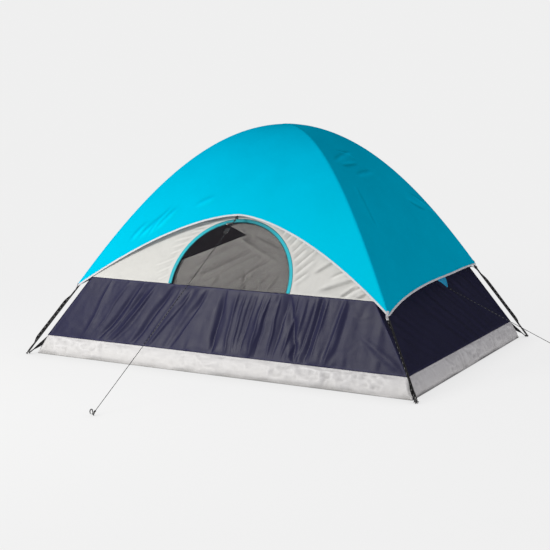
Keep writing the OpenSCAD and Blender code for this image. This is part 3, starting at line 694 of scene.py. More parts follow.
def band_height(side, x, y, h):
    _, _, spacing, height, _ = BAND_FOLDS[side]
    sway = 0.03 * noise(x / 0.5, y / 0.35, 40 + side)
    across = x - band_lean(side, x, y) * (y - 0.2) + sway
    n = height * folds(across, y, spacing, 0.8, 60 + side)
    n = n + 0.25 * height * folds(across + 0.2 * y, y, spacing * 0.45, 0.3, 70 + side)
    if side == 0:
        bend = 0.02 * noise(x / 0.25, y / 0.2, 43)
        for top, foot, width, depth in FRONT_BAND_CREASES:
            n = n + stroke(x + bend, y, (top, h), (foot, 0.0), width, depth, 0.45)
        for reach in (0.10, 0.16, 0.22):
            end = (1.24 - 1.3 * reach, 0.05 + 0.8 * reach)
            n = n + stroke(x, y, (1.28, 0.015), end, 0.012, 0.005, 0.3)
    return n


def make_band(side, name):
    panel = Panel(side, TUB_TOP, BAND_TOP)
    x, y, u, v = panel.grid(BAND_STEPS[side > 0])
    seam, _ = panel.edge_distance(x, y)
    n = band_height(side, x, y, panel.h) * smooth(seam, -0.001, 0.03)
    n = n - 0.006 * (1 - u * u) * 4 * v * (1 - v)
    free = (seam > 0.0005).astype(float)
    calm = 0.25 + 0.75 * smooth(noise(x / 0.28, y / 0.5, 50 + side), -0.55, 0.35)
    if side == 0:
        calm = calm * (0.45 + 0.55 * smooth(x, -1.2, -0.7)) * (1 - 0.5 * smooth(x, 0.85, 1.1))
    excess = BAND_FOLDS[side][4] * calm * smooth(seam, -0.002, 0.02)
    if side == 2:
        gap = np.maximum(np.abs(x) - OPENING_R, DOOR_SILL - y)
        n = n * smooth(gap, 0.0, 0.05)
        free = free * (gap > 0.018)
        excess = excess * smooth(gap, 0.01, 0.05)
    pleats = 0.0026 * folds(x - 1.1 * band_lean(side, x, y) * (y - 0.2), y, 0.045, 0.5, 75 + side)
    pleats = pleats * calm + 0.0012 * crumple(x, y, 0.10, 76 + side)
    if side == 0:
        swayed = x + 0.012 * noise(x / 0.2, y / 0.15, 44)
        for top, foot, width, depth in FRONT_BAND_CREASES + FRONT_BAND_PLEATS:
            pleats = pleats + stroke(swayed, y, (top, panel.h), (foot, 0.0), 0.75 * width, 0.7 * depth, 0.5)
    detail = pleats * smooth(seam, 0.0, 0.012) * (free if side == 2 else 1)
    data = panel_data(panel, x, y, n, 1, free, excess, band_lean(side, x, y), detail)
    data, faces = clip_grid(data, gap + 1e-6) if side == 2 else (data, grid_faces(*x.shape))
    add(name + "_cloth", data, faces, "band", stands_for=name, thick=CLOTH_THICK)


RIGHT_WALL_CREASES = (
    # start, end, width, height: the front wall's creases at its right corner
    ((0.66, 0.04), (0.90, 0.14), 0.024, -0.016), ((0.72, 0.12), (0.88, 0.20), 0.014, 0.011),
    ((0.84, 0.01), (0.98, 0.10), 0.014, 0.012), ((0.80, 0.00), (0.90, 0.09), 0.012, -0.012),
    ((0.90, -0.01), (0.98, 0.05), 0.012, -0.010), ((0.60, 0.15), (0.74, 0.26), 0.016, -0.010),
)


def wall_creases(side, x, y):
    """Sharp small creases: round the window they fan out up and away from its arch."""
    n = 0.0016 * folds(x - 0.5 * y, y, 0.12, 0.5, 100 + side) + 0.0016 * crumple(x, y, 0.14, 110 + side)
    if side == 0:
        dx = x - WINDOW_X
        fans = [(4 + 6.5 * k, 0.75 + 0.04 * k, 0.13 + 0.05 * (k % 3), 0.009 + 0.004 * (k % 2),
                 0.0090 - 0.0003 * k) for k in range(13)]
        fans += [(176 - 8 * k, math.pi + 0.55 - 0.05 * k, 0.10 + 0.04 * (k % 3), 0.008, 0.0030)
                 for k in range(9)]
        for degrees, heading, length, width, height in fans:
            a = math.radians(degrees)
            start = (OPENING_R + 0.022) * np.array([math.cos(a), math.sin(a)]) + (0, ARCH_LEG)
            along = np.array([math.cos(heading), math.sin(heading)])
            n = n + stroke(dx, y, start, start + along * length, width, height, 0.5)
        for start, end, width, height in RIGHT_WALL_CREASES:
            n = n + stroke(x, y, start, end, width, height, 0.4)
    return n


def make_wall(side, name):
    panel = Panel(side, BAND_TOP, ROOF_EDGE)
    x, y, u, v = panel.grid(WALL_STEPS[side > 0])
    seam, _ = panel.edge_distance(x, y)
    n = -0.008 * (1 - u * u) * 4 * v * (1 - v)
    n = n + 0.003 * noise(x / 0.25, y / 0.25, 105 + side) * smooth(seam, 0, 0.03)
    creases = wall_creases(side, x, y) * smooth(seam, 0.0, 0.025)
    free = (seam > 0.0005).astype(float)
    excess = 0.006 * smooth(seam, 0.0, 0.03)
    if side % 2 == 0:
        centre = WINDOW_X if side == 0 else 0.0
        away = -arch_field(x - centre, y - GAP, OPENING_R)
        n = n * smooth(away, 0.018, 0.06)
        creases = creases * smooth(away, 0.016, 0.035)
        free = free * (away > 0.020)
        excess = excess * smooth(away, 0.018, 0.05)
    data = panel_data(panel, x, y, n, 2, free, excess, 0.4 + 0 * x, creases)
    data, faces = clip_grid(data, away + 1e-6) if side % 2 == 0 else (data, grid_faces(*x.shape))
    add(name + "_cloth", data, faces, "wall", stands_for=name, thick=CLOTH_THICK)


for number, label in enumerate(("front", "right", "back", "left")):
    make_band(number, label + "_band")
    make_wall(number, label + "_wall")


# ---- bathtub and floor ----
def make_bathtub(step=0.0075, rows=22):
    """One strip round the tent: it bulges a little above the ground and is creased like a heavy sheet."""
    parts, offset = [], 0.0
    for side in range(4):
        panel = Panel(side, FLOOR, TUB_TOP)
        cols = int(2 * panel.a / step)
        v, u = grid(np.linspace(0, 1, rows), np.linspace(-1, 1, cols, endpoint=False))
        y = v * panel.h
        x = u * (panel.a + (panel.b - panel.a) * v)
        corner = smooth(1 - np.abs(u), 0, 0.012)
        wild = 0.35 + 0.65 * smooth(noise(x / 0.45, side * 2.3 + 0 * x, 125), -0.4, 0.4)
        if side == 0:
            wild = np.maximum(wild, 0.2 + 0.95 * smooth(x, 0.1, 0.7) * smooth(1.3 - x, 0, 0.2))
        n = 0.0110 * wild * crumple(x + 7 * side, y * 1.15, 0.105, 120)
        n = n + 0.0045 * folds(x + 0.5 * y, y, 0.07, 0.22, 130 + side) * wild
        n = n + 0.0030 * wild**2 * crumple(x + 3 * side, 1.3 * y, 0.055, 127)
        n = n + 0.010 * np.sin(np.pi * np.clip(v * 1.1, 0, 1)) ** 0.8
        n = n * corner * smooth(v, -0.02, 0.20) * smooth(1 - v, -0.02, 0.12)
        wave = seam_wave(x, side, 1) * np.exp(-(((panel.h - y) / 0.05) ** 2))
        foot = (0.007 * noise(x / 0.14, side * 5.1 + 0 * x, 9) - 0.008) * np.exp(-((y / 0.022) ** 2))
        push = wave * smooth(1 - np.abs(u), 0, 0.06) + foot * corner
        p = pushed_out(panel.points(x, y, n), push, side)
        p[..., 2] = np.maximum(p[..., 2], CLOTH_THICK)
        parts.append(np.dstack([p, x + offset, y, np.minimum(y, panel.h - y), x, hollows(p)]))
        offset += 2 * panel.a
    data = np.concatenate(parts, axis=1)
    add("bathtub_cloth", data.reshape(-1, 8), grid_faces(*data.shape[:2], wrap=True), "tub",
        stands_for="bathtub_wall", thick=CLOTH_THICK)


def make_floor(step=0.03):
    nx, ny = int(2 * FLOOR[0] / step), int(2 * FLOOR[1] / step)
    y, x = grid(np.linspace(-1, 1, ny), np.linspace(-1, 1, nx))
    x, y = x * FLOOR[0], y * FLOOR[1]
    edge = np.minimum(FLOOR[0] - np.abs(x), FLOOR[1] - np.abs(y))
    z = 0.0014 + (0.004 + 0.006 * crumple(x, y, 0.4, 140)).clip(0) * smooth(edge, 0, 0.1)
    add("floor_cloth", pack(x, y, z, x, y, edge, x), grid_faces(*x.shape), "floor", stands_for="floor",
        thick=CLOTH_THICK)


make_bathtub()
make_floor()


# ---- roof net, window, flap and door ----
def make_roof(n=56):
    i, j = grid(np.arange(-n, n + 1), np.arange(-n, n + 1))
    x, y = i / n * ROOF_EDGE[0], j / n * ROOF_EDGE[1]
    share = np.maximum(np.abs(i), np.abs(j)) / n
    s = share * ROOF_SHARE
    off_pole = smooth(np.abs(np.abs(i) - np.abs(j)) / n, 0, 0.6)
    z = ROOF_APEX * ridge(s) - 0.010 * off_pole * np.sin(np.pi * s / ROOF_SHARE) ** 2
    data = pack(x, y, z, x, y, (1 - share) * ROOF_EDGE[1], x)
    add("roof_net_cloth", data, grid_faces(*x.shape), "roof_net", stands_for="roof_mesh", thick=NET_THICK)


FRONT = Panel(0, BAND_TOP, ROOF_EDGE)
BACK = Panel(2, BAND_TOP, ROOF_EDGE)
BACK_BAND = Panel(2, TUB_TOP, BAND_TOP)


def placed(panel, x):
    """The window lies a little right of the middle; the door is central."""
    return x + (WINDOW_X if panel is FRONT else 0.0)


def arch_grid(r, step):
    cols, rows = int(2 * r / step) + 1, int((r + ARCH_LEG) / step) + 2
    y, x = grid(np.linspace(0, r + ARCH_LEG + 0.004, rows), np.linspace(-r, r, cols))
    return x, y


def make_window_net():
    x, y = arch_grid(OPENING_R, 0.012)
    n = -0.0008 - 0.004 * smooth(arch_field(x, y, OPENING_R), 0, 0.2)
    p = FRONT.points(placed(FRONT, x), y + GAP, n)
    inside = arch_field(x, y, OPENING_R - 0.001)
    add("window_net_cloth", *clip_grid(pack(p, x, y, inside, x), inside), "window_net",
        stands_for="window_mesh", thick=NET_THICK)


def line_side(x, y, a, b):
    """Distance from the line through a and b, above 0 on its right hand."""
    d = unit(np.array(b, float) - np.array(a, float))
    return (x - a[0]) * d[1] - (y - a[1]) * d[0]


PANEL_R = OPENING_R - 0.006  # outer radius of the flap and of the door
FLAP_CORNERS = (-0.384, 0.184), (0.034, 0.378), (-0.142, 0.452)  # of its open edge, left to right to top
FLAP_CREASES = (
    # start, end, width, height
    ((-0.34, 0.10), (0.02, 0.32), 0.022, 0.014), ((-0.36, 0.03), (0.10, 0.28), 0.022, -0.014),
    ((-0.22, 0.02), (0.16, 0.25), 0.016, 0.010), ((-0.06, 0.00), (0.26, 0.24), 0.015, -0.010),
    ((-0.30, 0.00), (-0.24, 0.13), 0.014, 0.010), ((-0.14, 0.00), (-0.06, 0.14), 0.012, -0.010),
    ((-0.05, 0.00), (-0.10, 0.12), 0.012, 0.009), ((0.06, 0.00), (0.20, 0.18), 0.014, 0.012),
    ((0.11, 0.00), (0.06, 0.15), 0.012, -0.011), ((0.17, 0.00), (0.28, 0.13), 0.012, -0.010),
    ((0.22, 0.00), (0.19, 0.11), 0.011, 0.009), ((0.27, 0.00), (0.34, 0.14), 0.012, 0.010),
    ((-0.02, 0.36), (0.32, 0.20), 0.022, 0.009), ((0.10, 0.38), (0.36, 0.28), 0.018, -0.008),
)


def make_flap():
    """The privacy flap, hooked up at the right; its left corner has dropped and hangs in soft folds."""
    x, y = arch_grid(PANEL_R, 0.006)
    left, tip, top = FLAP_CORNERS
    inside = arch_field(x, y, PANEL_R)
    open_side = np.maximum(line_side(x, y, left, tip), line_side(x, y, tip, top))
    keep = np.minimum(inside, open_side)
    n = 0.0070 * folds(x * 0.75 - y * 0.62, x + y, 0.10, 0.5, 150) * smooth(y, 0, 0.06)
    n = n + 0.0050 * crumple(x, y, 0.26, 160)
    for k, (start, end, width, height) in enumerate(FLAP_CREASES):
        n = n + stroke(x, y, start, end, 0.9 * width, 1.25 * height, 0.45 * (-1) ** k)
    n = n * smooth(inside, -0.01, 0.05)
    rolled = np.exp(-((open_side / 0.010) ** 2))
    n = np.clip(n + 0.004 * rolled - 0.008, -0.040, 0.007)
    p = FRONT.points(placed(FRONT, x), y + GAP, n - FLAP_DEPTH)
    data = pack(p, x, y, np.abs(keep), x, hollows(p, soften=10))
    add("window_flap_cloth", *clip_grid(data, keep), "flap", "window_flap", "window_flap",
        thick=CLOTH_THICK)


def make_door():
    """The back door: an arch over the wall's height, and a lower part that bends at the band's top edge."""
    r, step = PANEL_R, 0.008
    x, y = arch_grid(r, step)
    inside = arch_field(x, y, r)
    n = 0.003 * folds(x + 0.3 * y, y, 0.11, 0.5, 170) + 0.0012 * crumple(x, y, 0.12, 180)
    n = n * smooth(inside, 0.004, 0.05) * smooth(y, 0, 0.04)
    upper = clip_grid(pack(BACK.points(x, y + 0.002, n - FLAP_DEPTH), x, y, inside, x), inside)
    h = BACK_BAND.h - DOOR_SILL - 0.002
    v, x = grid(np.linspace(0, 1, int(h / step)), np.linspace(-r, r, int(2 * r / step) + 1))
    y = v * h
    edge = np.minimum(np.minimum(r - np.abs(x), y), h - y)
    n = 0.003 * folds(x + 0.3 * y, y, 0.11, 0.5, 171) + 0.001 * crumple(x, y, 0.12, 181)
    n = n * smooth(edge, 0, 0.04) - FLAP_DEPTH
    lower = pack(BACK_BAND.points(x, y + DOOR_SILL + 0.004, n), x, y - h, edge, x)
    parts = upper, (lower, to_triangles(grid_faces(*x.shape)))
    add("door_cloth", *joined(parts), "wall", "door", "door_panel", "door_fabric", thick=CLOTH_THICK)


def arch_path(r, step=0.008):
    """Outline from the arch's left foot over the top to its right foot."""
    angles = np.linspace(math.pi, 0, int(math.pi * r / step))
    leg = np.arange(0, ARCH_LEG - step / 2, step)
    left = np.stack([np.full(len(leg), -r), leg], 1)
    over = np.stack([r * np.cos(angles), ARCH_LEG + r * np.sin(angles)], 1)
    right = np.stack([np.full(len(leg), r), leg[::-1]], 1)
    return np.concatenate([left, over, right])


def panel_path(panel, outline, height):
    """An outline laid on a panel at a height, with its sideways and upward directions."""
    path = panel.points(placed(panel, outline[:, 0]), outline[:, 1] + GAP, np.full(len(outline), height))
    low, high = panel.points(np.zeros(2), np.zeros(2), np.arange(2))
    _, side, up = path_frames(path, unit(high - low))
    return path, side, up


def tape_along(panel, outline, width, height, thick, crown):
    return sweep(*panel_path(panel, outline, height), rounded(width, thick, crown))


def joined(parts):
    data, faces, offset = [], [], 0
    for d, f in parts:
        data.append(d)
        faces += [[int(k) + offset for k in face] for face in f]
        offset += len(d)
    return np.vstack(data), faces


def make_trim(panel, label, sill=False):
    mid, tape = OPENING_R, (TRIM_W - 0.008, 0.0018, 0.0018, 0.0008)
    parts = [tape_along(panel, arch_path(mid), *tape)]
    parts.append(tape_along(panel, arch_path(mid + 0.008), 0.008, 0.0032, 0.0012, 0.0006))
    if sill:
        h, low, bend = BACK_BAND.h, DOOR_SILL, 0.02
        outline = np.array([[-mid, h - 0.003], [-mid, low + bend], [-mid + bend, low], [mid - bend, low],
                            [mid, low + bend], [mid, h - 0.003]])
        parts.append(tape_along(BACK_BAND, resample(outline, 0.008), *tape))
    add(label + "_trim_tape", *joined(parts), "trim", stands_for=label + "_trim")


def make_coil(panel, label, pitch=0.0045):
    """Zip teeth: a thin strand that zigzags along the trim's inner edge."""
    inner = resample(arch_path(ARCH_R - TRIM_W + 0.006, step=0.0015), pitch / 4)
    path, side, up = panel_path(panel, inner, 0.0036)
    phase = (np.arange(len(inner)) * np.pi / 2)[:, None]
    path = path + side * 0.0022 * np.cos(phase) + up * 0.0009 * np.sin(phase)
    add(label + "_zip_coil", *sweep(path, side, up, circle(0.0010, 5)), "coil")


make_roof()
make_window_net()
make_flap()
make_door()
make_trim(FRONT, "window")
make_trim(BACK, "door", sill=True)
make_coil(FRONT, "window")
make_coil(BACK, "door")


# ---- rainfly ----
def edge_z(side, u, s):
    """Height of the fly's lower edge; u is the place along the side and s the share of the half diagonal."""
    skewed = ((side == 1) & (u > 0)) | ((side == 2) & (u < 0))
    low = FLY_CORNER_Z + FLY_SKEW * skewed
    share = np.abs(u) * s / np.where(skewed, CORNER_SHARE[1], CORNER_SHARE[0])
    return low + (FLY_MIDDLE_Z[side] - low) * (1 - share ** (1.6 if side % 2 == 0 else 2.0))


def edge_share(side, u):
    low, high = np.full_like(u, 0.3), np.full_like(u, 0.95)
    for _ in range(30):
        s = (low + high) / 2
        over = FLY_APEX * ridge(s) > edge_z(side, u, s)
        low, high = np.where(over, s, low), np.where(over, high, s)
    return (low + high) / 2


U_TABLE = np.linspace(-1, 1, 801)
EDGE_TABLE = [edge_share(side, U_TABLE) for side in range(4)]
RIDGE_ROUNDING = 0.007  # half width of the rounded ridge, as a share of the half spans
FLY_CREASES = {
    # side: start and end in plan, width, height
    0: (((-0.80, -0.73), (-0.70, -0.67), 0.009, 0.006), ((-0.74, -0.72), (-0.58, -0.64), 0.009, 0.006),
        ((-0.67, -0.71), (-0.54, -0.61), 0.009, 0.006), ((-0.62, -0.69), (-0.49, -0.61), 0.009, 0.006),
        ((-0.36, -0.60), (-0.22, -0.56), 0.010, 0.004)),
    1: (((0.51, -0.29), (0.46, 0.05), 0.016, 0.008), ((0.54, -0.25), (0.54, -0.02), 0.014, -0.006),
        ((0.61, -0.18), (0.60, 0.08), 0.016, 0.007), ((0.75, 0.41), (0.87, 0.66), 0.016, 0.009),
        ((0.77, 0.30), (0.83, 0.49), 0.013, -0.006), ((0.66, -0.30), (0.86, -0.42), 0.020, -0.005),
        ((0.44, -0.12), (0.50, 0.02), 0.012, 0.006)),
}


def fly_folds(side, x, y, s):
    """Small creases of the taut fly, in plan coordinates of the whole fly. Height is square to the cloth."""
    n = 0.0016 * noise(x / 0.35, y / 0.35, 200) * smooth(s, 0.05, 0.3)
    n = n + 0.0007 * crumple(x, y, 0.30, 205) * smooth(s, 0.1, 0.4)
    for start, end, width, height in FLY_CREASES.get(side, ()):
        n = n + stroke(x, y, start, end, width, height, 0.4)
    if side == 1:
        lane, along = x * 0.55 + y * 0.83, x * 0.83 - y * 0.55
        n = n + 0.0022 * folds(lane + 0.2 * along, along, 0.13, 0.6, 221)
    if side >= 2:
        n = n + 0.0018 * folds(x * 0.6 + y * 0.8, x - y, 0.16, 0.6, 222 + side)
    return n


def fly_point(x, y):
    """Point of the fly over a plan point, its side, and its height above the lower edge."""
    a, b = np.abs(x) / HALF[0], np.abs(y) / HALF[1]
    s = np.maximum(a, b)
    gap = np.maximum(RIDGE_ROUNDING - np.abs(a - b), 0)
    z = FLY_APEX * ridge(s + gap**2 / (4 * RIDGE_ROUNDING))
    ends = a > b
    side = np.where(ends, np.where(x > 0, 1, 3), np.where(y > 0, 2, 0))
    slope = np.arctan(-FLY_APEX * (ridge(s + 1e-4) - ridge(s - 1e-4)) / 2e-4 / np.where(ends, *HALF))
    out = np.zeros(x.shape + (3,))
    above = np.zeros_like(x)
    for k, direction in enumerate(((0, -1), (1, 0), (0, 1), (-1, 0))):
        m = side == k
        u = np.clip((x, y, -x, -y)[k][m] / np.maximum(s[m] * HALF[k % 2], 1e-9), -1, 1)
        t = s[m] / np.interp(u, U_TABLE, EDGE_TABLE[k])
        pull = FLY_PULL[k] * t**3 * (1 - u * u) ** 2
        h = fly_folds(k, x[m], y[m], s[m]) * smooth(np.abs(np.abs(u) - 1), 0.0, 0.10)
        aside = pull + h * np.sin(slope[m])
        out[m] = np.stack([x[m] + direction[0] * aside, y[m] + direction[1] * aside,
                           z[m] + h * np.cos(slope[m])], -1)
        above[m] = FLY_APEX * ridge(s[m]) - edge_z(k, u, s[m])
    return out, side, above


def make_fly(n=180):
    i, j = grid(np.arange(-n, n + 1), np.arange(-n, n + 1))
    x, y = i / n * HALF[0] * CORNER_SHARE[0] * 1.004, j / n * HALF[1] * CORNER_SHARE[0] * 1.004
    p, side, above = fly_point(x, y)
    slope_run = np.maximum(np.abs(i), np.abs(j)) / n * 1.35
    ridge_gap = np.abs(np.abs(i) - np.abs(j)) / n * 0.9
    # How hollow the fly is, for its painted fold shade.
    hollow = hollows(p, -1) * smooth(ridge_gap, 0.004, 0.03)
    seam = np.minimum(ridge_gap, above + 0.003)
    data = pack(p, np.where(side % 2 == 1, y, x), slope_run, seam, slope_run, hollow)
    quads = grid_faces(*x.shape)
    # each cell's diagonal follows the ridge of its quarter
    flip = i.ravel()[quads].mean(1) * j.ravel()[quads].mean(1) < 0
    quads[flip] = np.roll(quads[flip], 1, axis=1)
    data, faces = clip(data, to_triangles(quads), above.ravel())
    add("rainfly_cloth", data, faces, "fly", "rainfly", "rainfly", thick=FLY_THICK)


BINDING_STEP = 0.006


def fly_edge():
    """Plan points of the fly's lower edge, once round from the front left corner."""
    points = []
    for side in range(4):
        half, out = HALF[side % 2], HALF[1 - side % 2]
        u = np.linspace(-1, 1, int(2 * half * CORNER_SHARE[0] / BINDING_STEP), endpoint=False)
        share = edge_share(side, u)
        points.append(turned(np.stack([u * share * half, -share * out, 0 * u], -1), side)[:, :2])
    return np.concatenate(points)


def make_binding():
    """Folded tape over the fly's lower edge, slightly puckered by its stitching."""
    plan = fly_edge()
    edge, _, _ = fly_point(plan[:, 0] * 0.9999, plan[:, 1] * 0.9999)
    inner, _, _ = fly_point(plan[:, 0] * 0.985, plan[:, 1] * 0.985)
    down = unit(edge - inner)
    tangent = unit(np.roll(edge, -1, 0) - np.roll(edge, 1, 0))
    normal = unit(np.cross(tangent, down))
    down = np.cross(normal, tangent)
    run = np.arange(len(edge)) * BINDING_STEP
    pucker = 0.0007 * np.sin(run * 2 * np.pi / 0.018) + 0.0012 * noise(run / 0.05, 0 * run, 230)
    path = edge + down * 0.0055 + normal * (pucker * 0.6)[:, None]
    width = 1 + 0.05 * noise(run / 0.03, 0 * run, 231)
    profile = rounded(0.0125, 0.0030, crown=0.0004)[None] * np.stack([width, 1 + 0 * width], -1)[:, None]
    add("fly_binding_tape", *sweep(path, down, normal, profile, closed=True), "binding", "rainfly",
        "fly_binding")


make_fly()
make_binding()

# ---- webbing, tabs, cords and sleeves ----
def ribbon(path, across, width, thick, double=(0.0, 0.0)):
    """Flat strap along a path. Across gives its width's direction; double is how far each end is
    sewn back."""
    tangent = unit(np.gradient(path, axis=0))
    side = square_to(across, tangent)
    run = run_along(path)
    ply = 1 + smooth(double[0] - run, -0.003, 0.0) * (double[0] > 0)
    ply = ply + smooth(run - (run[-1] - double[1]), -0.003, 0.0) * (double[1] > 0)
    profile = rounded(width, thick, crown=0.0002)[None] * np.stack([1 + 0 * ply, ply], -1)[:, None]
    return sweep(path, side, np.cross(side, tangent), profile)


def ring(centre, axis, radius, wire):
    """A torus."""
    axis = unit(np.asarray(axis, float))
    first = unit(np.cross(axis, (0.3, 0.5, 0.81)))
    second = np.cross(axis, first)
    a = np.linspace(0, 2 * np.pi, 36, endpoint=False)[:, None]
    out = first * np.cos(a) + second * np.sin(a)
    up = np.broadcast_to(axis, out.shape)
    return sweep(centre + out * radius, out, up, circle(wire / 2, 10), closed=True)


def strap_reach(label):
    """How much longer a corner's strap is, and how far it lies aside at its top."""
    return (STRAP_EXTRA, STRAP_ASIDE) if label == "back_right" else (0.0, 0.0)


def make_fly_strap(label):
    """Elastic from the fly's corner to the hook, doubled and sewn at both ends."""
    extra, aside = strap_reach(label)
    t = np.linspace(0, 1, 160)
    x = -(STRAP_TOP + extra) + 0.010 + t * (STRAP_TOP + extra - 0.036)
    seed = 240 + len(label)
    free = np.sin(np.pi * t)
    y = 0.0135 + aside + 0.0012 * noise(x / 0.12, 0 * x, seed) * free
    edgewise = smooth(t, 0.08, 0.26) * smooth(1 - t, 0.07, 0.20)
    z = 0.0048 + 0.0075 * edgewise + 0.0008 * noise(x / 0.09, 0 * x, seed + 1) * free
    turn = edgewise * (math.pi / 2 - 0.15 + 0.15 * noise(x / 0.15, 0 * x, seed + 2))
    path = at_foot(label, np.stack([x, y, z], 1))
    normal = foot_frame(label)[2]
    across = to_corner(label, ASIDE * np.cos(turn)[:, None] + normal * np.sin(turn)[:, None])
    strap = "fly_strap_" + label
    add(strap + "_elastic", *ribbon(path, across, 0.0145, 0.0022, double=(0.028, 0.034)), "elastic",
        strap, strap, closed=True)


def make_corner_webbing():
    """Webbing sewn into the bathtub's corner seam; it twists and loops round the ring's bar."""
    parts = []
    wide, bar_r = 0.022, 0.0042
    for label, (b, _) in CORNERS.items():
        r, z, slope = pole_chain(b, 4)
        bar = OUT * (r + 0.0105 * math.cos(slope) - 0.015) + UP * (z - 0.0105 * math.sin(slope))
        start, end = TUB_TOP - (0.004, 0.004, 0.012), bar + UP * bar_r
        t = np.linspace(0, 1, 70)[:, None]
        flat = start + (end - start) * t - UP * 0.006 * np.sin(np.pi * t)
        a = np.linspace(90, -190, 22)[1:, None] * math.pi / 180
        loop = bar + (OUT * np.cos(a) + UP * np.sin(a)) * bar_r
        back = loop[-1] + (start - loop[-1]) * np.linspace(0.03, 0.20, 12)[:, None] - UP * 0.0004
        path = np.vstack([flat, loop, back])
        turn = np.concatenate([smooth(t[:, 0], 0.30, 0.92), np.ones(len(loop) + len(back))]) * math.pi / 2
        upright = np.cross(ASIDE, unit(end - start))
        across = upright * np.cos(turn)[:, None] + ASIDE * np.sin(turn)[:, None]
        tangent = unit(np.gradient(path, axis=0))
        side = square_to(across, tangent)
        width = wide * (1 - 0.15 * np.sin(turn))
        profile = rounded(1.0, 0.0020 / wide)[None] * width[:, None, None]
        axes = (to_corner(label, v) for v in (path, side, np.cross(side, tangent)))
        parts.append(sweep(*axes, profile))
    add("corner_webbing", *joined(parts), "webbing", stands_for="corner_straps", closed=True)


def make_clip_webbing():
    """Short webbing from the inner tent's shoulder to the clip on the pole."""
    parts = []
    for label, (b, _) in CORNERS.items():
        r, z, slope = pole_chain(b, 3)
        r, z = r + 0.020 * math.cos(slope), z - 0.020 * math.sin(slope)
        start, end = BAND_TOP + (0.001, -0.003, 0.0), OUT * r + UP * z + (-0.029, -0.006, 0.0035)
        t = np.linspace(0, 1, 24)[:, None]
        path = to_corner(label, start + (end - start) * t - UP * 0.002 * np.sin(np.pi * t))
        parts.append(ribbon(path, to_corner(label, ASIDE), 0.012, 0.0018, double=(0.018, 0.012)))
    add("clip_webbing", *joined(parts), "webbing", stands_for="clip_tabs", closed=True)


def make_fly_corner_tabs():
    """Folded tape from each corner of the fly to its elastic."""
    parts = []
    for label in CORNERS:
        extra, aside = strap_reach(label)
        keys = np.array([[-0.578, 0.0, 0.0178], [-0.566, 0.002, 0.0150], [-0.556, 0.008, 0.0085],
                         [-0.548, 0.0125, 0.0062], [-0.524, 0.0135, 0.0062]])
        keys = keys - (extra, 0, 0) + np.array([0, aside, 0]) * np.array([0, 0.2, 0.8, 1, 1])[:, None]
        path = at_foot(label, smooth_path(keys, 0.002))
        parts.append(ribbon(path, to_corner(label, ASIDE), 0.016, 0.0016, double=(0.014, 0.010)))
    add("fly_corner_tab_tape", *joined(parts), "binding", "rainfly", "fly_corner_tabs", "fly_tab_fabric",
        closed=True)


def smooth_path(keys, step):
    """A soft curve through a few points."""
    keys = np.asarray(keys, float)
    path = resample(keys, step)
    for _ in range(int(0.008 / step) ** 2 + 2):
        path[1:-1] = (path[:-2] + 2 * path[1:-1] + path[2:]) / 4
    return path


def make_guy_tabs():
    """Hemmed cloth triangles with an eyelet, at the middle of the fly's short sides."""
    cloth, hems, eyelets = [], [], []
    corners = np.array([[0.0, -0.066], [0.060, -0.009], [0.066, 0.0], [0.060, 0.009], [0.0, 0.066]])
    slope = math.radians(50)
    down = np.array([math.cos(slope), 0, -math.sin(slope)])
    out = np.array([math.sin(slope), 0, math.cos(slope)])
    for side, facing in ((1, (1, 1, 1)), (3, (-1, -1, 1))):
        share = edge_share(side, np.zeros(1))[0]
        base = np.array([HALF[0] * share + FLY_PULL[side] + 0.006, 0, FLY_MIDDLE_Z[side] - 0.012])
        b, a = grid(np.linspace(-0.068, 0.068, 46), np.linspace(-0.008, 0.068, 26))
        inside = np.minimum(0.066 - np.abs(b) * 0.2 - a, (0.066 - np.abs(b)) * 0.74 - a * 0.72 + 0.004)
        hole = np.hypot(a - 0.056, b) - 0.0034
        n = 0.0022 * folds(b * (1 + 8 * a), a, 0.03, 0.1, 260 + side) * smooth(a, 0, 0.02)
        n = n + 0.003 * np.sin(np.pi * np.clip(a / 0.066, 0, 1))
        p = base + a[..., None] * down + n[..., None] * out
        p[..., 1] += b
        data, faces = clip_grid(pack(p, a, b, np.abs(inside), a), np.minimum(inside, hole) + 1e-6)
        data[:, :3] *= facing
        cloth.append((data, faces))
        line = resample(corners, 0.003)
        lift = 0.003 * np.sin(np.pi * np.clip(line[:, 0] / 0.066, 0, 1))
        path = base + line[:, :1] * down * 0.97 + lift[:, None] * out
        path[:, 1] += line[:, 1] * 0.95
        path, normal = path * facing, out * facing
        hems.append(ribbon(path, np.cross(unit(np.gradient(path, axis=0)), normal), 0.010, 0.0030))
        centre = (base + down * 0.056 + out * 0.0008) * facing
        eyelets += [ring(centre + normal * way * 0.0010, normal, 0.0047, 0.0022) for way in (1, -1)]
    add("fly_guy_tab_cloth", *joined(cloth), "tab", "rainfly", "fly_guy_tabs", thick=CLOTH_THICK)
    add("fly_guy_tab_hem", *joined(hems), "tab", "rainfly", closed=True)
    add("fly_guy_tab_eyelet", *joined(eyelets), "steel", "rainfly", closed=True)


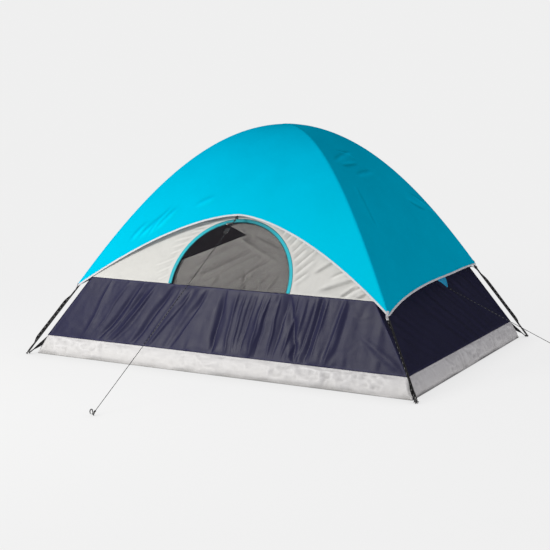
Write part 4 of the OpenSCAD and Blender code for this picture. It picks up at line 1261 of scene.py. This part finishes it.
def make_toggles():
    """Grooved barrel toggles on webbing loops, at the middle of the fly's long edges."""
    barrels, loops = [], []
    x = np.linspace(-1, 1, 41)
    r = 0.0065 * (1 - np.abs(x) ** 8 * 0.55) - 0.0007 * (np.abs(np.abs(x) - 0.35) < 0.07)
    r = r - 0.0012 * np.exp(-(x / 0.12) ** 2)
    for way in (1, -1):
        at = np.array([0, -0.684 * way, 0.963])
        path = at + np.stack([x * 0.012, 0 * x, 0 * x], 1)
        side, up = np.broadcast_to((0, 1.0, 0), path.shape), np.broadcast_to(UP, path.shape)
        barrels.append(sweep(path, side, up, circle(1.0, 20)[None] * r[:, None, None]))
        keys = np.array([[0.0125, 0.0125], [0.004, 0.0088], [-0.003, 0.0080], [-0.0082, 0.0020],
                         [-0.0070, -0.0055], [0.001, -0.0078], [0.0085, 0.0010], [0.0135, 0.0095]])
        path = smooth_path(at + np.stack([0 * keys[:, 0], keys[:, 0] * way, keys[:, 1]], 1), 0.0012)
        loops.append(ribbon(path, np.array([1.0, 0, 0]), 0.010, 0.0014))
    add("fly_toggle_barrels", *joined(barrels), "plastic", "rainfly", "fly_toggles", closed=True)
    add("fly_toggle_loops", *joined(loops), "webbing", "rainfly", closed=True)


def cord(path, radius, lay, seed):
    """Twisted cord of three strands. The lay is the length of one twist."""
    _, side, up = path_frames(path, (0.123, 0.456, 0.881))
    run = run_along(path)
    a = np.linspace(0, 2 * np.pi, 12, endpoint=False)[None]
    phase = (run * 2 * np.pi / lay)[:, None]
    r = radius * (0.86 + 0.14 * np.abs(np.cos(1.5 * (a - phase))))
    r = r * (1 + 0.05 * noise(run / 0.02, 0 * run, seed)[:, None])
    return sweep(path, side, up, np.stack([r * np.cos(a), r * np.sin(a)], -1))


def make_guy_line(label):
    """Cord from the fly to a loop round the stake, with a knot at each end."""
    tie, stake = GUYS[label]
    lay, loop_r = 0.009, 0.008
    out = unit(stake)
    shank = out * math.sin(STAKE_TILT) + UP * math.cos(STAKE_TILT)
    across = np.cross(shank, out)
    centre = stake + shank * 0.012
    start = centre + unit(tie - centre) * loop_r
    length = np.linalg.norm(tie - start)
    along = unit(tie - start)
    t = np.linspace(0, 1, int(length / 0.0016))[:, None]
    parts = [cord(start + along * length * t - UP * 0.003 * np.sin(np.pi * t), 0.0019, lay, 270)]
    a = np.linspace(0, 2 * np.pi, 60, endpoint=False)[:, None]
    flat = unit(np.cross(shank, across))
    path = centre + (across * np.cos(a) + flat * np.sin(a)) * loop_r
    upright = np.broadcast_to(shank, path.shape)
    parts.append(sweep(path, unit(path - centre), upright, circle(0.0017, 10), closed=True))
    first = unit(np.cross(along, (0.2, 0.3, 0.9)))
    second = np.cross(along, first)
    for base, way in ((start + along * 0.004, 1), (tie - along * 0.012, -1)):
        k = np.linspace(0, 1, 70)[:, None]
        a = k * 2 * np.pi * 3.2
        coil = base + along * (0.010 * k * way) + (first * np.cos(a) + second * np.sin(a)) * 0.0036
        parts.append(cord(coil, 0.0017, lay, 271))
    line = label + "_guy_line"
    add(line + "_cord", *joined(parts), "cord", line, line, closed=True)


def make_sleeves():
    """Puckered cloth tubes sewn to the roof net along a flange."""
    step = 0.005
    for b, label in ((False, "pole_sleeve_a"), (True, "pole_sleeve_b")):
        parts, points = [], []
        for i, low, high in ((0, 0.2, 1.0), (1, 0.0, 1.0), (2, 0.0, 0.45)):
            r, z, t = pole_chain(b, i)
            bend, length = POLES[b][1][i], SECTIONS[i]
            for share in np.arange(low, high, step / length):
                points.append(pole_step(r, z, t, bend * share, length * share)[:2])
        r, z = np.array(points).T
        for turn in (1, -1):
            path = np.stack([r * OUT[0] * turn, r * OUT[1] * turn * (-1 if b else 1), z], 1)
            _, side, up = path_frames(path, UP)
            run = (np.arange(len(path)) * step)[:, None]
            a = np.linspace(0, 2 * np.pi, 24, endpoint=False) - np.pi / 2
            pucker = 1 + 0.10 * noise(run / 0.016, a[None] * 1.6, 280 + turn)
            gather = 1 + 0.06 * np.sin(run * 2 * np.pi / 0.035)
            flange = np.exp(-(((a + np.pi / 2 + np.pi) % (2 * np.pi) - np.pi) / 0.20) ** 2)
            radius = 0.0082 * pucker * gather + 0.0045 * flange
            parts.append(sweep(path, side, up, np.stack([radius * np.cos(a), radius * np.sin(a)], -1)))
        add(label + "_cloth", *joined(parts), "sleeve", stands_for=label, closed=True)


def make_corner_seams():
    """Bound seams up the inner tent's four corners."""
    for material, low, high in (("band", TUB_TOP, BAND_TOP), ("wall", BAND_TOP, ROOF_EDGE)):
        t = np.linspace(0.002, 0.998, int(np.linalg.norm(high - low) / 0.006))[:, None]
        path = low + (high - low) * t + (0.0010, 0.0010, 0.0004)
        path = path + 0.0006 * noise(t / 0.06, 0 * t, 290) * (1.0, -1.0, 0)
        parts = [ribbon(to_corner(label, path), to_corner(label, (-0.707, 0.707, 0.0)), 0.008, 0.0022)
                 for label in CORNERS]
        add(material + "_corner_seams", *joined(parts), material, closed=True)


for corner in CORNERS:
    make_fly_strap(corner)
make_corner_webbing()
make_clip_webbing()
make_fly_corner_tabs()
make_guy_tabs()
make_toggles()
make_guy_line("front")
make_guy_line("right")
make_sleeves()
make_corner_seams()

# ---- stage, lights and camera ----
PALE = 0.865


def make_floor_disk():
    """A wide pale floor. It mostly glows by itself, and each kind of ray sees its own brightness. Near the
    tent an occlusion test dims its glow, a painted contact shadow, and dims the light it throws onto the
    cloth, painted shade.
    """
    s = Shader("pale_floor")
    place = s.node("NewGeometry").outputs["Position"]
    flat = s.out("VectorMath", {0: place, 1: (1, 1, 0)}, operation="MULTIPLY")
    radius = s.node("VectorMath", {0: flat}, operation="LENGTH").outputs["Value"]
    # Painted contact shadow: the glow is dimmed where the tent hems the floor in; light bounced onto the
    # cloth is dimmed there too and brighter further out.
    near = s.node("AmbientOcclusion", {"Distance": 0.22}, samples=6).outputs["AO"]
    ray = s.node("LightPath").outputs
    glow = s.times(s.spread(near, 0.25, 1.0, 0.80, 1.0), s.spread(radius, 2.0, 6.0, 1.035, 1.0))
    glow = s.times(glow, s.spread(ray["Is Glossy Ray"], 0.0, 1.0, 1.0, 0.1))
    bounce = s.spread(near, 0.30, 0.95, 0.60, 1.38)
    glow = s.times(glow, s.spread(ray["Is Diffuse Ray"], 0.0, 1.0, 1.0, bounce))
    own = s.out("Emission", {"Color": rgba((PALE,) * 3), "Strength": glow})
    lit = s.out("BsdfDiffuse", {"Color": (0.9, 0.9, 0.9, 1)})
    share = s.spread(radius, 2.0, 6.0, 0.90, 1.0)
    mesh = bpy.data.meshes.new("studio_floor")
    mesh.from_pydata([(x, y, 0) for x, y in circle(60, 96)], [], [list(range(96))])
    mesh.materials.append(s.finish(s.out("MixShader", {0: share, 1: lit, 2: own})))
    floor = bpy.data.objects.new("studio_floor", mesh)
    bpy.context.scene.collection.objects.link(floor)


def make_world():
    """The camera sees a pale grey world. The cloth is lit by a dimmer one, brighter from the right,
    and mirrors a dark one."""
    world = bpy.data.worlds.new("studio")
    bpy.context.scene.world = world
    world.use_nodes = True
    tree = world.node_tree
    tree.nodes.clear()

    def node(kind, *links):
        made = tree.nodes.new("ShaderNode" + kind)
        for key, source in links:
            tree.links.new(source, made.inputs[key])
        return made

    toward = node("SeparateXYZ", (0, node("TexCoord").outputs["Generated"]))
    side_fill = node("MapRange", (0, toward.outputs[0]))
    for key, value in {1: -1.0, 2: 1.0, 3: 0.82, 4: 1.30}.items():
        side_fill.inputs[key].default_value = value
    seen, mirrored = node("Background"), node("Background")
    lights = node("Background", ("Strength", side_fill.outputs[0]))
    for made, color in ((seen, (PALE,) * 3), (lights, (0.44, 0.4268, 0.4488)), (mirrored, (0.05,) * 3)):
        made.inputs[0].default_value = rgba(color)
    ray = node("LightPath").outputs
    unseen = node("MixShader", (0, ray["Is Glossy Ray"]), (1, lights.outputs[0]), (2, mirrored.outputs[0]))
    surface = node("MixShader", (0, ray["Is Camera Ray"]), (1, unseen.outputs[0]), (2, seen.outputs[0]))
    node("OutputWorld", (0, surface.outputs[0]))


def direction(azimuth, elevation):
    a, e = math.radians(azimuth), math.radians(elevation)
    return Vector((math.sin(a) * math.cos(e), -math.cos(a) * math.cos(e), math.sin(e)))


def place_at(thing, toward, distance, target):
    """Puts a light or camera at a distance from its target, facing it."""
    thing.location = Vector(target) + toward * distance
    thing.rotation_euler = toward.to_track_quat("Z", "Y").to_euler()
    bpy.context.scene.collection.objects.link(thing)


def make_softbox(azimuth=-24, elevation=24, distance=6.2, size=1.4, strength=2.02):
    """A large soft light; strength is the light it gives at the tent's middle."""
    light = bpy.data.lights.new("softbox", "AREA")
    light.shape, light.size = "DISK", size
    light.energy = strength * math.pi * distance**2
    light.color = (1.0, 0.99, 0.94)
    lamp = bpy.data.objects.new("softbox", light)
    lamp.visible_camera = False
    place_at(lamp, direction(azimuth, elevation), distance, (0, 0, 0.5))


def make_camera(azimuth=28.17, elevation=8.61, distance=8.512, target=(-0.0862, 0.0, 0.4934)):
    camera = bpy.data.objects.new("camera", bpy.data.cameras.new("camera"))
    camera.data.lens, camera.data.sensor_width = 79.3, 36.0
    camera.data.clip_start, camera.data.clip_end = 0.1, 200
    place_at(camera, direction(azimuth, elevation), distance, target)
    bpy.context.scene.camera = camera


make_floor_disk()
make_world()
make_softbox()
make_camera()
bpy.context.scene.view_settings.view_transform = "Standard"
bpy.context.scene.view_settings.look = "None"

# ---- CAD nodes that stay: finishes and rounded edges ----
FINISH = {
    "pole": [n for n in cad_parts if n.startswith("pole_") and "_section" in n],
    "steel": ["pole_ferrules", "pole_end_caps", "corner_rings", "corner_pins"],
    "shock": ["shock_cord_a", "shock_cord_b"],
    "plastic": ["corner_clips", "front_guy_slider", "right_guy_slider"]
    + [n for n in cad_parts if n.startswith("fly_hook")],
    "stake": ["front_stake", "right_stake"],
    "zip": ["window_zip_slider", "door_zip_slider"],
}
for finish, names in FINISH.items():
    for label in names:
        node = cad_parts[label]
        node.data.materials.clear()
        node.data.materials.append(MATERIALS[finish])
        if finish in ("plastic", "zip"):
            node.modifiers.new("weld", "WELD").merge_threshold = 1e-6
            edge = node.modifiers.new("edge", "BEVEL")
            edge.width, edge.segments, edge.limit_method = 0.0006, 2, "ANGLE"
